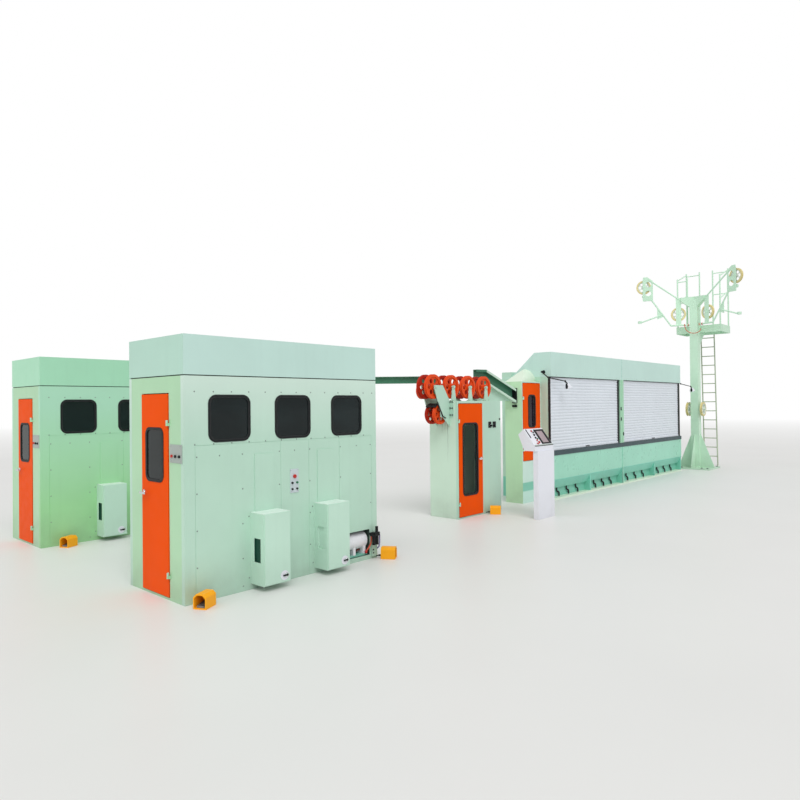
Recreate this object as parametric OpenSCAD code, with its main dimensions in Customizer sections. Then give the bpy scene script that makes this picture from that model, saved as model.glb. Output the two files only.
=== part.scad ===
// Two-wire drawing line: a pay-off tower, a drawing housing, a guide stand and two take-up cabins.
// X runs along the line from the cabins to the tower, Y runs away from the operator's aisle, Z is up.
// The origin is on the floor, at the middle of the drawing housing's footprint.

/* [Line layout] */
// Distance along the line from the cabins' outer end to the drawing housing
house_x = 7480; // [7400:10:7800]
// How far the drawing housing stands back from the near cabin's front
house_y = 590; // [400:10:800]
// Distance along the line from the cabins' outer end to the guide stand
stand_x = 4900; // [4700:10:5000]
// How far the guide stand stands back from the near cabin's front
stand_y = 730; // [600:10:800]
// Distance between the fronts of the two cabins
cabin_pitch = 3530; // [3000:10:4000]
// Distance between the drawing housing's end and the middle of the tower's column
tower_gap = 870; // [700:10:1300]
// How far the tower's column stands back from the near cabin's front
tower_y = 500; // [300:10:900]

/* [Take-up cabin] */
// Length of a cabin along the line
cabin_l = 2400; // [2300:10:2600]
// Depth of a cabin
cabin_w = 1050; // [1000:10:1200]
// Height of a cabin
cabin_h = 2400; // [2200:10:2600]
// Height of the hood on top of a cabin
hood_h = 370; // [200:10:500]
// Thickness of the cabin's walls
wall = 50; // [40:1:60]
// Depth of the dark seam between the hood and the walls
seam = 10; // [5:1:15]
// Width of a front window
window_w = 425; // [300:5:480]
// Height of a front window
window_h = 410; // [300:5:450]
// Distance between front windows
window_pitch = 738; // [600:2:760]
// Height of the front windows' lower edge
window_z = 1437; // [1350:1:1500]
// Width of a service box
box_w = 310; // [200:5:400]
// Depth of a service box
box_d = 215; // [150:5:300]
// Height of a service box
box_h = 680; // [500:10:700]
// Distance between the service boxes
box_pitch = 783; // [600:1:800]

/* [Doors] */
// Thickness of a door leaf
leaf_t = 40; // [30:1:45]
// How far a leaf stands proud of its wall
leaf_proud = 8; // [5:1:12]
// Gap around a leaf
leaf_gap = 8; // [6:1:12]
// Width of a cabin's doorway
doorway_w = 520; // [450:5:600]
// Height of a cabin's doorway
doorway_h = 1860; // [1700:10:1950]
// Height of a doorway's threshold
sill_h = 20; // [10:1:40]
// Distance from a hinge's axis to the leaf's face
hinge_off = 14; // [13:1:20]
// Radius of a hinge knuckle
knuckle_r = 9; // [8:0.5:11]
// Radius of a hinge pin
pin_r = 4; // [3:0.5:5]
// Height of a hinge knuckle
knuckle_h = 26; // [20:1:60]

/* [Guide stand] */
// Length of the guide stand
stand_l = 1160; // [1000:10:1300]
// Depth of the guide stand
stand_w = 550; // [500:10:700]
// Height of the guide stand
stand_h = 1800; // [1700:10:1900]
// Width of the guide stand's doorway
stand_door_w = 625; // [500:5:660]
// Diameter of the top guide sheaves
sheave_d = 370; // [300:5:390]
// Distance between the pairs of top sheaves
sheave_pitch = 435; // [420:5:450]
// Distance between the two sheaves of a pair
pair_pitch = 150; // [120:5:180]
// Height of the top sheaves' axles above the stand
axle_up = 220; // [210:5:260]
// Diameter of the sheaves on the stand's end
end_sheave_d = 300; // [260:5:310]
// Diameter of the sheave inside the stand
inner_wheel_d = 360; // [300:5:380]
// Diameter of the sheave behind the stand's corner
side_sheave_d = 250; // [200:5:260]

/* [Drawing housing] */
// Length of the drawing housing's main body
house_l = 6580; // [6500:10:6800]
// Depth of the drawing housing
house_w = 1040; // [950:10:1300]
// Height of the drawing housing
house_h = 2680; // [2600:10:2800]
// Height of the lower edge of the hood
fascia_z = 2235; // [2150:5:2300]
// Height of the shutters' sill
shutter_z = 890; // [860:5:950]
// Height of the sill rail
rail_h = 85; // [60:5:110]
// Height of the toe recess under the lower panels
toe_z = 370; // [300:5:420]
// Place of the middle post along the housing
post_x = 2860; // [2700:10:3200]
// Width of the middle post
post_w = 280; // [200:5:320]
// Pitch of the shutters' slats
slat_pitch = 54; // [40:1:75]
// Height of the outlet cabinet at the housing's end
outlet_h = 2140; // [2100:5:2180]
// Length of the outlet cabinet
outlet_l = 630; // [600:5:700]
// Depth of the outlet cabinet
outlet_w = 350; // [300:5:420]
// How far the outlet cabinet is set back from the housing's front
outlet_set = 215; // [150:5:250]
// Height of the outlet door's lower edge
outlet_door_z = 735; // [700:5:800]

/* [Pay-off tower] */
// Side of the square column
column_s = 200; // [160:5:240]
// Height of the column's top
column_h = 4450; // [4300:10:4600]
// Angle of each arm from the line's direction
arm_angle = 115; // [110:1:118]
// Reach of an arm from the column's middle to its sheave
arm_reach = 1250; // [1200:10:1300]
// How far the outer sheaves' axles rise over the column's top
arm_rise = 410; // [370:5:450]
// Diameter of the tower's sheaves
tower_sheave_d = 370; // [300:5:380]
// Height of the platform's deck
deck_z = 3770; // [3600:10:3800]
// Length of the platform across the line
deck_w = 1130; // [1100:10:1400]
// Length of the platform along the line
deck_l = 770; // [700:10:1000]
// Height of the railing beside the column
near_rail = 1300; // [1100:10:1400]
// Height of the railing beside the ladder
far_rail = 1550; // [1400:10:1700]
// Width of the ladder
ladder_w = 340; // [300:10:450]
// Pitch of the ladder's rungs
rung_pitch = 250; // [230:5:300]

/* [Control console] */
// Width of the console's pedestal
console_w = 480; // [400:5:550]
// Depth of the console's pedestal
console_d = 85; // [70:5:120]
// Height of the console's pedestal
console_h = 1030; // [950:5:1100]

/* [Hidden] */
$fn = 48;

mint = "#bfe0cd";
mint_dark = "#6eb08f";
orange = "#e8500a";
red_orange = "#e85a23";
black = "#15191b";
glass = "#26303a";
steel = "#c8ccd0";
white = "#e6e6ea";

origin_x = house_x + house_l/2;
origin_y = house_y + house_w/2;
body_h = cabin_h - hood_h;
axle_z = stand_h + axle_up;
tower_x = house_x + house_l + tower_gap;
arm_z = column_h + arm_rise;
fit = 0.05;
face_gap = 0.3;
plate = 12;
seal = 14;
axle_r = 15;
nut_d = 48;
nut_h = 16;
hub_l = 60;
hub_d = 80;
plate_clear = 6;

// Puts a unit at its place along the line, measured from the near cabin's outer front corner.
module at_line(x, y) {
  translate([x - origin_x, y - origin_y, 0]) children();
}

// A rectangle with rounded corners, from its lower left corner.
module round_rect(w, h, r) {
  translate([r, 0]) square([w - 2*r, h]);
  translate([0, r]) square([w, h - 2*r]);
  for (x = [r, w - r]) {
    for (y = [r, h - r]) {
      translate([x, y]) circle(r);
    }
  }
}

// A rounded slab in a wall that faces -Y: x and z from its lower left corner, y from its outer face.
module front_slab(w, h, r, t) {
  translate([0, t, 0]) rotate([90, 0, 0]) linear_extrude(t) round_rect(w, h, r);
}

// A round bar between two points.
module bar(p, q, r) {
  d = q - p;
  translate(p) rotate([0, acos(d[2]/norm(d)), atan2(d[1], d[0])]) cylinder(r = r, h = norm(d));
}

// A round bar between two points in the same vertical plane as X.
module bar_xz(p, q, r) {
  bar([p[0], 0, p[1]], [q[0], 0, q[1]], r);
}

// A cylinder along Y, centred on its middle.
module rod_y(r, l) {
  rotate([90, 0, 0]) cylinder(r = r, h = l, center = true);
}

// A flat plate in the plane of X and Z, centred on y = 0.
module flat_plate(t) {
  translate([0, t/2, 0]) rotate([90, 0, 0]) linear_extrude(t) children();
}

// A grooved sheave turned about Y, with lightening holes between its spokes.
module sheave(d, w, hub_d, hub_l, bore_r, holes) {
  r = d/2;
  rim = d*0.11;
  web = w*0.3;
  difference() {
    rotate([90, 0, 0]) rotate_extrude($fn = 64) polygon([
      [bore_r, -hub_l/2], [hub_d/2, -hub_l/2], [hub_d/2, -web/2], [r - rim, -web/2], [r - rim, -w/2],
      [r, -w/2], [r - rim*0.55, -w*0.12], [r - rim*0.55, w*0.12], [r, w/2], [r - rim, w/2],
      [r - rim, web/2], [hub_d/2, web/2], [hub_d/2, hub_l/2], [bore_r, hub_l/2]
    ]);
    hole_r = (r - rim - hub_d/2)*0.36;
    for (i = [0:1:holes - 1]) {
      rotate([0, i*360/holes, 0]) translate([(r - rim + hub_d/2)/2, 0, 0]) rod_y(hole_r, w);
    }
  }
}

// A hexagon nut on an axle along Y, centred on its middle.
module nut_y() {
  rotate([90, 0, 0]) cylinder(d = nut_d, h = nut_h, center = true, $fn = 6);
}

// Two sheaves on one hub tube, turning together.
module twin_sheave(d, pitch) {
  w = 42;
  for (s = [-1, 1]) {
    translate([0, s*pitch/2, 0]) sheave(d, w, hub_d, w + 8, axle_r + fit, 6);
  }
  rotate([90, 0, 0]) rotate_extrude() polygon([
    [axle_r + fit, -(pitch - w - 8)/2], [30, -(pitch - w - 8)/2], [30, (pitch - w - 8)/2],
    [axle_r + fit, (pitch - w - 8)/2]
  ]);
}

// Doors hang on the edge at x = 0 and open towards -Y, with their outer face at y = -leaf_proud.
hinge_z_low = 180;
hinge_z_top = 300;
hinge_y = -leaf_proud - hinge_off;
hinge_plate = 18;

// The fixed half of a lift-off hinge: a plate on the wall, a knuckle and the pin.
module hinge_fixed(z, plate_w) {
  translate([-plate_w, hinge_y + knuckle_r - 5, z]) cube([plate_w, -hinge_y - knuckle_r + 5, knuckle_h]);
  translate([0, hinge_y, z]) cylinder(r = knuckle_r, h = knuckle_h);
  translate([0, hinge_y, z]) cylinder(r = pin_r, h = 2*knuckle_h - 4);
}

// The moving half of a lift-off hinge, above the fixed one.
module hinge_moving(z) {
  difference() {
    union() {
      translate([0, hinge_y, z]) cylinder(r = knuckle_r, h = knuckle_h);
      translate([0, hinge_y + knuckle_r - 5, z])
        cube([hinge_plate, -leaf_proud - hinge_y - knuckle_r + 5, knuckle_h]);
    }
    translate([0, hinge_y, z - 1]) cylinder(r = pin_r + fit, h = knuckle_h + 2);
  }
}

// A door leaf with its window cut out, its hinge halves and its lever handle.
module door_leaf(w, h, glass_x, glass_z, glass_w, glass_h, handle_z) {
  leaf_w = w - 2*leaf_gap;
  leaf_h = h - 2*leaf_gap;
  color(orange) {
    difference() {
      translate([leaf_gap, -leaf_proud, leaf_gap]) cube([leaf_w, leaf_t, leaf_h]);
      translate([glass_x, -leaf_proud - 1, glass_z]) front_slab(glass_w, glass_h, 60, leaf_t + 2);
    }
    hinge_moving(hinge_z_low + knuckle_h + face_gap);
    hinge_moving(h - hinge_z_top + knuckle_h + face_gap);
  }
  color(black) door_handle(w - handle_in, handle_z);
}

handle_in = 55;
rose_r = 24;
rose_t = 6;
stem_r = 9;
stem_l = 34;
lever_l = 115;
lever_h = 22;
lever_t = 14;

// A lever handle on its rose.
module door_handle(x, z) {
  translate([x, -leaf_proud - rose_t, z]) rotate([-90, 0, 0]) cylinder(r = rose_r, h = rose_t);
  translate([x, -leaf_proud - stem_l, z]) rotate([-90, 0, 0]) cylinder(r = stem_r, h = stem_l);
  translate([x + stem_r + face_gap - lever_l, -leaf_proud - stem_l - lever_t, z - lever_h/2])
    front_slab(lever_l, lever_h, lever_h/2 - 1, lever_t);
}

// The pane of a door or window with the rubber seal that holds it in its hole.
module sealed_pane(w, h, r, t) {
  lip = 5;
  pane_in = 4;
  pane_t = 6;
  color(black) difference() {
    union() {
      translate([-seal, -lip, -seal]) front_slab(w + 2*seal, h + 2*seal, r + seal, lip);
      front_slab(w, h, r, t);
      translate([-seal, t, -seal]) front_slab(w + 2*seal, h + 2*seal, r + seal, lip);
    }
    translate([seal, -lip - 1, seal]) front_slab(w - 2*seal, h - 2*seal, r - seal, t + 2*lip + 2);
  }
  color(glass) translate([seal, pane_in, seal]) front_slab(w - 2*seal, h - 2*seal, r - seal, pane_t);
}

door_y0 = 262;
door_glass_w = 320;
door_glass_h = 480;
door_glass_x = (doorway_w - door_glass_w)/2;
door_glass_z = doorway_h - 810;
cabin_handle_z = 925;

// Turns a door built towards -Y onto the cabin's end wall, which faces -X.
module on_end_wall() {
  translate([0, door_y0, sill_h]) mirror([1, -1, 0]) children();
}

first_window_x = 254;
window_r = 70;
first_box_x = 689;
box_z = 57;
niche_x = 1960;
niche_w = 320;
niche_z = 50;
niche_h = 290;
niche_d = 260;
niche_t = 15;

left_post = 105;
right_post = 75;
panel_gap = 45;
panel_top = window_z - 37;
groove_w = 5;
groove_d = 3;
second_box_x = first_box_x + box_pitch;
panel_edges = [left_post, first_box_x + box_w + panel_gap, second_box_x - 70,
  second_box_x + box_w + panel_gap, cabin_l - right_post - groove_w];

// The grooves round the sheet panels that close the front wall under its windows.
module panel_grooves() {
  translate([left_post, -1, panel_top])
    cube([cabin_l - left_post - right_post, groove_d + 1, groove_w]);
  for (x = panel_edges) {
    translate([x, -1, -1]) cube([groove_w, groove_d + 1, panel_top + 2]);
  }
}

module cabin_front_wall() {
  color(mint) {
    difference() {
      cube([cabin_l, wall, body_h]);
      for (i = [0:2]) {
        translate([first_window_x + i*window_pitch, -1, window_z])
          front_slab(window_w, window_h, window_r, wall + 2);
      }
      translate([niche_x, -1, niche_z]) cube([niche_w, wall + 2, niche_h]);
      panel_grooves();
    }
    difference() {
      translate([niche_x - niche_t, wall, niche_z - niche_t])
        cube([niche_w + 2*niche_t, niche_d - wall, niche_h + 2*niche_t]);
      translate([niche_x, wall - 1, niche_z]) cube([niche_w, niche_d - wall - niche_t + 1, niche_h]);
    }
  }
}

module cabin_door_wall() {
  color(mint) {
    difference() {
      translate([0, wall, 0]) cube([wall, cabin_w - 2*wall, body_h]);
      translate([-1, door_y0, sill_h]) cube([wall + 2, doorway_w, doorway_h]);
    }
    on_end_wall() {
      hinge_fixed(hinge_z_low, hinge_plate);
      hinge_fixed(doorway_h - hinge_z_top, hinge_plate);
    }
  }
  color(steel) translate([-button_t, door_y0 - plate_gap - plate_w, plate_z])
    cube([button_t, plate_w, plate_h]);
  color(black) {
    for (i = [0:2]) {
      translate([-button_t - button_l, door_y0 - plate_gap - plate_w + 40 + i*67, plate_z + 60])
        rotate([0, 90, 0]) cylinder(r = 13, h = button_l);
    }
  }
}

button_t = 6;
button_l = 12;
plate_w = 215;
plate_h = 165;
plate_z = 1250;
plate_gap = 22;

module cabin_rear_walls() {
  color(mint) difference() {
    translate([0, wall, 0]) cube([cabin_l, cabin_w - wall, body_h]);
    translate([-1, 0, -1]) cube([cabin_l - wall + 1, cabin_w - wall, body_h + 2]);
    for (i = [1, 2]) {
      translate([i*cabin_l/3, cabin_w - groove_d, -1]) cube([groove_w, groove_d + 1, body_h + 2]);
    }
  }
}

module cabin_hood() {
  color(mint) {
    translate([seam, seam, body_h]) cube([cabin_l - 2*seam, cabin_w - 2*seam, seam]);
    translate([0, 0, body_h + seam]) cube([cabin_l, cabin_w, hood_h - seam]);
  }
}

module windows() {
  for (i = [0:2]) {
    translate([first_window_x + i*window_pitch, 0, window_z])
      sealed_pane(window_w, window_h, window_r, wall);
  }
}

channel_w = 218;
channel_top = 1290;
lid_t = 10;

// A box for the traverse drive, with its lid, turn latch and cable channel above.
module service_box() {
  difference() {
    translate([0, -box_d + lid_t, box_z]) cube([box_w, box_d - lid_t, box_h]);
    translate([-1, -box_d + 60, box_z + 215]) cube([16, 100, 225]);
  }
  translate([8, -box_d, box_z + 8]) cube([box_w - 16, lid_t, box_h - 16]);
  translate([box_w - 50, -box_d - 8, box_z + 70]) rotate([-90, 0, 0]) cylinder(r = 14, h = 8);
  translate([(box_w - channel_w)/2, -8, box_z + box_h])
    cube([channel_w, 8, channel_top - box_z - box_h]);
}

// A push button on a plate that stands button_t proud of the front wall.
module push_button(x, z, r) {
  translate([x, -button_t - button_l, z]) rotate([-90, 0, 0]) cylinder(r = r, h = button_l);
}

button_x = 1160;
button_z = 870;

module service_boxes() {
  color(mint) {
    for (x = [first_box_x, second_box_x]) {
      translate([x, 0, 0]) service_box();
    }
  }
  color(white) translate([button_x, -button_t, button_z]) cube([105, button_t, 240]);
  color("red") push_button(button_x + 52, button_z + 165, 19);
  color(black) {
    for (x = [22, 83]) {
      push_button(button_x + x, button_z + 101, 11);
      push_button(button_x + x, button_z + 38, 10);
    }
  }
}

tank_r = 98;
tank_z = niche_z + 168;
tank_y = 108;
tank_l = niche_w - 30;
tank_dome = 17;
tank_legs = [94, 248];
leg_w = 35;
leg_in = 30;
shelf_t = 20;

module air_unit() {
  color(steel) {
    translate([niche_x + 10, leg_in, niche_z]) cube([niche_w - 20, 2*(tank_y - leg_in), shelf_t]);
  }
  color(white) {
    for (x = tank_legs) {
      translate([niche_x + x, leg_in, niche_z + shelf_t])
        cube([leg_w, 2*(tank_y - leg_in), tank_z - niche_z - shelf_t]);
    }
    translate([niche_x + 5, tank_y, tank_z]) rotate([0, 90, 0]) {
      cylinder(r = tank_r, h = tank_l);
      translate([0, 0, tank_l]) cylinder(r1 = tank_r, r2 = tank_r - 3*tank_dome, h = tank_dome);
    }
  }
  air_filter();
}

filter_x = niche_x + niche_w + 10;
filter_y = -62;
filter_z = 165;
bowl_r = 19;
bowl_h = 100;

// The air filter and regulator on the front wall beside the niche, over their small terminal box.
module air_filter() {
  color(black) {
    translate([filter_x - 25, filter_y - 22, filter_z + bowl_h]) cube([100, 44, 42]);
    translate([filter_x - 10, filter_y + 22, filter_z + bowl_h + 8]) cube([70, -filter_y - 22, 26]);
    for (x = [0, 47]) {
      translate([filter_x + x, filter_y, filter_z]) cylinder(r = bowl_r, h = bowl_h);
    }
    translate([filter_x + 45, filter_y, filter_z + bowl_h + 42]) cylinder(r = 17, h = 64);
    translate([filter_x - 2, filter_y - 36, filter_z + bowl_h + 21]) rotate([-90, 0, 0])
      cylinder(r = 18, h = 14);
  }
  color(mint) translate([filter_x + 6, -30, 32]) cube([78, 30, 130]);
}

module cabin_door() {
  on_end_wall()
    door_leaf(doorway_w, doorway_h, door_glass_x, door_glass_z, door_glass_w, door_glass_h,
      cabin_handle_z);
}

module cabin_door_glass() {
  on_end_wall() translate([door_glass_x, -leaf_proud, door_glass_z])
    sealed_pane(door_glass_w, door_glass_h, 60, leaf_t);
}

module near_cabin() {
  at_line(0, 0) children();
}

module far_cabin() {
  at_line(0, cabin_pitch) children();
}

module both_cabins() {
  near_cabin() children();
  far_cabin() children();
}

stand_wall = leaf_t - leaf_proud + plate_clear;
head_rail = 35;
stand_leaf_h = stand_h - head_rail - sill_h;
stand_glass_w = 380;
stand_glass_x = 105;
stand_glass_z = 330;
stand_glass_h = stand_leaf_h - stand_glass_z - 315;
stand_handle_z = 870;
stand_frame = 18;
knob_x = stand_l - 300;
knob_z = stand_h - 400;
knob_pitch = 90;
knob_r = 16;
knob_l = 30;

// The stand's floor, back, ends and top, open at the front.
module guide_stand_shell() {
  at_line(stand_x, stand_y) {
    color(mint) difference() {
      translate([0, stand_wall, 0]) cube([stand_l, stand_w - stand_wall, stand_h]);
      translate([stand_wall, -1, sill_h])
        cube([stand_l - 2*stand_wall, stand_w - stand_wall + 1, stand_h - stand_wall - sill_h]);
    }
    color(steel) translate([inner_wheel_x, stand_w - stand_wall - inner_axle/2, inner_wheel_z])
      rod_y(axle_r, inner_axle);
    color(steel) translate([inner_wheel_x, stand_w - stand_wall - inner_axle - nut_h/2, inner_wheel_z])
      nut_y();
  }
}

// The stand's front: the panel beside the door and the rails round the doorway.
module guide_stand_front() {
  at_line(stand_x, stand_y) {
    color(mint) difference() {
      cube([stand_l, stand_wall, stand_h]);
      translate([stand_frame, -1, sill_h]) cube([stand_door_w, stand_wall + 2, stand_leaf_h]);
    }
    color(mint) translate([stand_frame, 0, sill_h]) {
      hinge_fixed(hinge_z_low, stand_frame);
      hinge_fixed(stand_leaf_h - hinge_z_top, stand_frame);
    }
    color(black) {
      for (i = [0, 1]) {
        translate([knob_x + i*knob_pitch, -knob_l, knob_z]) rotate([-90, 0, 0])
          cylinder(r = knob_r, h = knob_l);
      }
    }
  }
}

module guide_stand_door() {
  at_line(stand_x, stand_y) translate([stand_frame, 0, sill_h])
    door_leaf(stand_door_w, stand_leaf_h, stand_glass_x, stand_glass_z, stand_glass_w, stand_glass_h,
      stand_handle_z);
}

module guide_stand_door_glass() {
  at_line(stand_x, stand_y)
    translate([stand_frame + stand_glass_x, -leaf_proud, sill_h + stand_glass_z])
      sealed_pane(stand_glass_w, stand_glass_h, 60, leaf_t);
}

inner_wheel_x = 230;
inner_wheel_z = 690;
inner_wheel_w = 50;
inner_axle = 250;
inner_wheel_y = stand_w - stand_wall - inner_axle + plate_clear + hub_l/2;

module guide_inner_wheel() {
  at_line(stand_x, stand_y) color(red_orange)
    translate([inner_wheel_x, inner_wheel_y, inner_wheel_z])
      sheave(inner_wheel_d, inner_wheel_w, hub_d, hub_l, axle_r + fit, 6);
}

// Sheave pairs stand in a row over the stand's middle, the first one beyond its end.
row_y = stand_w/2;
first_sheave_x = -335;
bracket_y = pair_pitch/2 + 50;
function sheave_x(i) = first_sheave_x + i*sheave_pitch;

// A tapered upright from the stand's top to an axle.
module upright(y, foot) {
  translate([0, y, 0]) flat_plate(plate) {
    polygon([[-foot/2, stand_h], [foot/2, stand_h], [24, axle_z], [-24, axle_z]]);
    translate([0, axle_z]) circle(24);
  }
  translate([-foot/2, y - 30, stand_h]) cube([foot, 60, 10]);
}

// The axle of a sheave pair with a nut at each end.
module pair_axle(half) {
  rod_y(axle_r, 2*half + 2*nut_h);
  for (s = [-1, 1]) {
    translate([0, s*(half + nut_h/2), 0]) nut_y();
  }
}

module guide_brackets() {
  at_line(stand_x, stand_y) color(mint) {
    for (i = [1:3]) {
      translate([sheave_x(i), row_y, 0]) {
        upright(-bracket_y, 120);
        upright(bracket_y, 120);
        translate([0, 0, axle_z]) pair_axle(bracket_y + plate/2);
      }
    }
  }
}

end_sheave_x = -185;
end_sheave_z = stand_h - 200;

// A plate on the stand's end that carries the first pair and the end pair.
module end_plate(y) {
  translate([0, y, 0]) flat_plate(plate) polygon([
    [0, end_sheave_z - 190], [0, stand_h], [side_sheave_x + 40, axle_z + 20],
    [first_sheave_x - 30, axle_z + 20], [first_sheave_x - 30, axle_z - 30],
    [end_sheave_x - 40, end_sheave_z + 40], [end_sheave_x - 40, end_sheave_z - 40],
    [end_sheave_x + 20, end_sheave_z - 50]
  ]);
}

module guide_end_bracket() {
  at_line(stand_x, stand_y) translate([0, row_y, 0]) color(mint) {
    end_plate(-bracket_y);
    end_plate(bracket_y);
    translate([-plate, -bracket_y - flange_side, end_sheave_z - 40])
      cube([plate, 2*(bracket_y + flange_side), stand_h - end_sheave_z + 40]);
    translate([first_sheave_x, 0, axle_z]) pair_axle(bracket_y + plate/2);
    translate([end_sheave_x, 0, end_sheave_z]) pair_axle(bracket_y + plate/2);
    translate([side_sheave_x, bracket_y + side_axle/2, side_sheave_z]) rod_y(axle_r, side_axle);
    translate([side_sheave_x, bracket_y + side_axle + nut_h/2, side_sheave_z]) nut_y();
  }
}

flange_side = 80;
side_sheave_x = first_sheave_x + 130;
side_sheave_z = axle_z - 60;
side_axle = 160;
side_sheave_y = row_y + bracket_y + side_axle - plate_clear - hub_l/2;

module guide_pair(i) {
  at_line(stand_x, stand_y) color(red_orange) translate([sheave_x(i), row_y, axle_z])
    twin_sheave(sheave_d, pair_pitch);
}

module guide_end_sheaves() {
  at_line(stand_x, stand_y) color(red_orange) translate([end_sheave_x, row_y, end_sheave_z])
    twin_sheave(end_sheave_d, pair_pitch);
}

module guide_side_sheave() {
  at_line(stand_x, stand_y) color(red_orange)
    translate([side_sheave_x, side_sheave_y, side_sheave_z])
      sheave(side_sheave_d, 42, 70, hub_l, axle_r + fit, 6);
}

channel_t = 6;

// A channel lying on its side, open towards -Y, from x = 0.
module side_channel(l, h, flange) {
  difference() {
    cube([l, flange, h]);
    translate([-1, -1, channel_t]) cube([l + 2, flange - channel_t + 1, h - 2*channel_t]);
  }
}

roller_t = 28;
roller_y = 95;
roller_z = 1760;
trough_h = 240;
trough_flange = 90;
trough_lip = 40;
trough_top = stand_h + 535;
trough_flat = 220;
trough_drop = 330;
trough_post = [38, 50];
trough_from = [stand_x + stand_l - trough_post[0], stand_y + stand_w - 36];
trough_to = [house_x - outlet_l, house_y + outlet_set + roller_y + 85];

// The lipped channel that brings both wires down from the sheaves to the rollers of the housing's outlet.
module inlet_trough() {
  dx = trough_to[0] - trough_from[0];
  dy = trough_to[1] - trough_from[1];
  run = sqrt(dx*dx + dy*dy) - trough_flat;
  low = trough_top - trough_h;
  color(mint_dark) difference() {
    at_line(trough_from[0], trough_from[1]) rotate([0, 0, atan2(dy, dx)]) translate([0, -trough_flange, 0]) {
      difference() {
        trough_profile(run, 0, trough_flange, 0);
        translate([0, channel_t, 0]) trough_profile(run, channel_t, trough_flange - 2*channel_t, 1);
        translate([0, -1, 0]) trough_profile(run, trough_lip, channel_t + 2, 1);
      }
      translate([0, trough_flange - trough_post[1], stand_h])
        cube([trough_post[0], trough_post[1], low - stand_h]);
      translate([0, trough_flange - plate/2, 0]) flat_plate(plate) polygon([
        [0, stand_h], [trough_flat + (low - stand_h)*run/trough_drop, stand_h], [trough_flat, low], [0, low]
      ]);
    }
    at_line(house_x - outlet_l - roller_t, 0) cube([outlet_l, house_y + house_w, house_h]);
  }
}

// The trough's side view: a short flat end, then a slope down to the housing.
module trough_profile(run, inset, depth, past) {
  top = trough_top - inset;
  low = trough_top - trough_h + inset;
  translate([0, depth, 0]) rotate([90, 0, 0]) linear_extrude(depth) polygon([
    [-past, low], [trough_flat, low], [trough_flat + run + past, low - trough_drop],
    [trough_flat + run + past, top - trough_drop], [trough_flat, top], [-past, top]
  ]);
}

outlet_trough_h = 110;
outlet_flange = 60;
outlet_trough_z = stand_h + 285;
outlet_past = 100;
outlet_from = [stand_x + 60, stand_y + stand_w - 90];
outlet_to = [cabin_l, cabin_pitch + cabin_w/2];

// The trough that leads one wire across to the far cabin.
module outlet_trough() {
  dx = outlet_from[0] - outlet_to[0];
  dy = outlet_from[1] - outlet_to[1];
  color(mint_dark) at_line(outlet_to[0], outlet_to[1]) difference() {
    translate([0, 0, outlet_trough_z]) rotate([0, 0, atan2(dy, dx)])
      translate([-outlet_past, 0, 0])
        side_channel(sqrt(dx*dx + dy*dy) + outlet_past, outlet_trough_h, outlet_flange);
    translate([-2*outlet_past, -cabin_w/2, 0]) cube([2*outlet_past, cabin_w, cabin_h]);
  }
  color(mint_dark) at_line(outlet_from[0] - 40, outlet_from[1] - 20)
    translate([0, 0, stand_h]) cube([50, 50, outlet_trough_z - stand_h]);
}

panel_t = 60;
toe_set = 130;
rail_t = 70;
shutter_set = 40;

// The plinth: a strip on the floor, a recess for the drain hoses and a band that slopes out over it.
module housing_base() {
  at_line(house_x, house_y) color(mint) {
    rotate([90, 0, 90]) linear_extrude(house_l) polygon([
      [0, 0], [house_w, 0], [house_w, toe_z], [0, toe_z], [0, toe_z - 12], [band_y, band_z],
      [toe_set, band_z], [toe_set, base_strip], [0, base_strip]
    ]);
    for (x = toe_plates) {
      translate([x, 10, 0]) cube([toe_plate_t, toe_set, toe_z]);
    }
  }
}

band_z = toe_z - 170;
band_y = toe_set - 50;
base_strip = 30;
seal_w = 80;
guide_w = 20;
joint_x = post_x + (seal_w + post_w - guide_w)/2;
joint_w = 24;
joint_t = 8;
toe_plate_t = 40;
toe_plates = [0, joint_x/2, joint_x - toe_plate_t/2, (joint_x + house_l)/2, house_l - toe_plate_t];

// The strip that covers the joint between the housing's two halves, from z0 to z1.
module joint_strip(z0, z1, t) {
  translate([joint_x - joint_w/2, -joint_t, z0]) cube([joint_w, t, z1 - z0]);
}

module housing_lower_panels() {
  at_line(house_x, house_y) color(mint) {
    translate([0, 0, toe_z]) cube([house_l, panel_t, shutter_z - rail_h - toe_z]);
    joint_strip(base_strip, shutter_z - rail_h, joint_t);
  }
}

module housing_core() {
  at_line(house_x, house_y) color(mint)
    translate([0, panel_t, toe_z]) cube([house_l, house_w - panel_t, fascia_z - toe_z]);
}

seal_set = 25;
end_seal = 120;
corner_seal = 30;

// The middle post between the two shutters, and the dark guides that the shutters run in.
module housing_posts() {
  at_line(house_x, house_y) {
    color(mint) {
      translate([post_x + seal_w, 0, shutter_z])
        cube([post_w - seal_w - guide_w, panel_t, fascia_z - shutter_z]);
      joint_strip(shutter_z, fascia_z, joint_t + 10);
    }
    color(black) {
      for (guide = [[0, corner_seal], [post_x, seal_w], [post_x + post_w - guide_w, guide_w],
          [house_l - end_seal, end_seal]]) {
        translate([guide[0], seal_set, shutter_z])
          cube([guide[1], panel_t - seal_set, fascia_z - shutter_z]);
      }
    }
  }
}

module housing_sill() {
  at_line(house_x, house_y) color("#28424a")
    translate([0, -10, shutter_z - rail_h]) cube([house_l, rail_t, rail_h]);
}

slat_bulge = 8;

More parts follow.
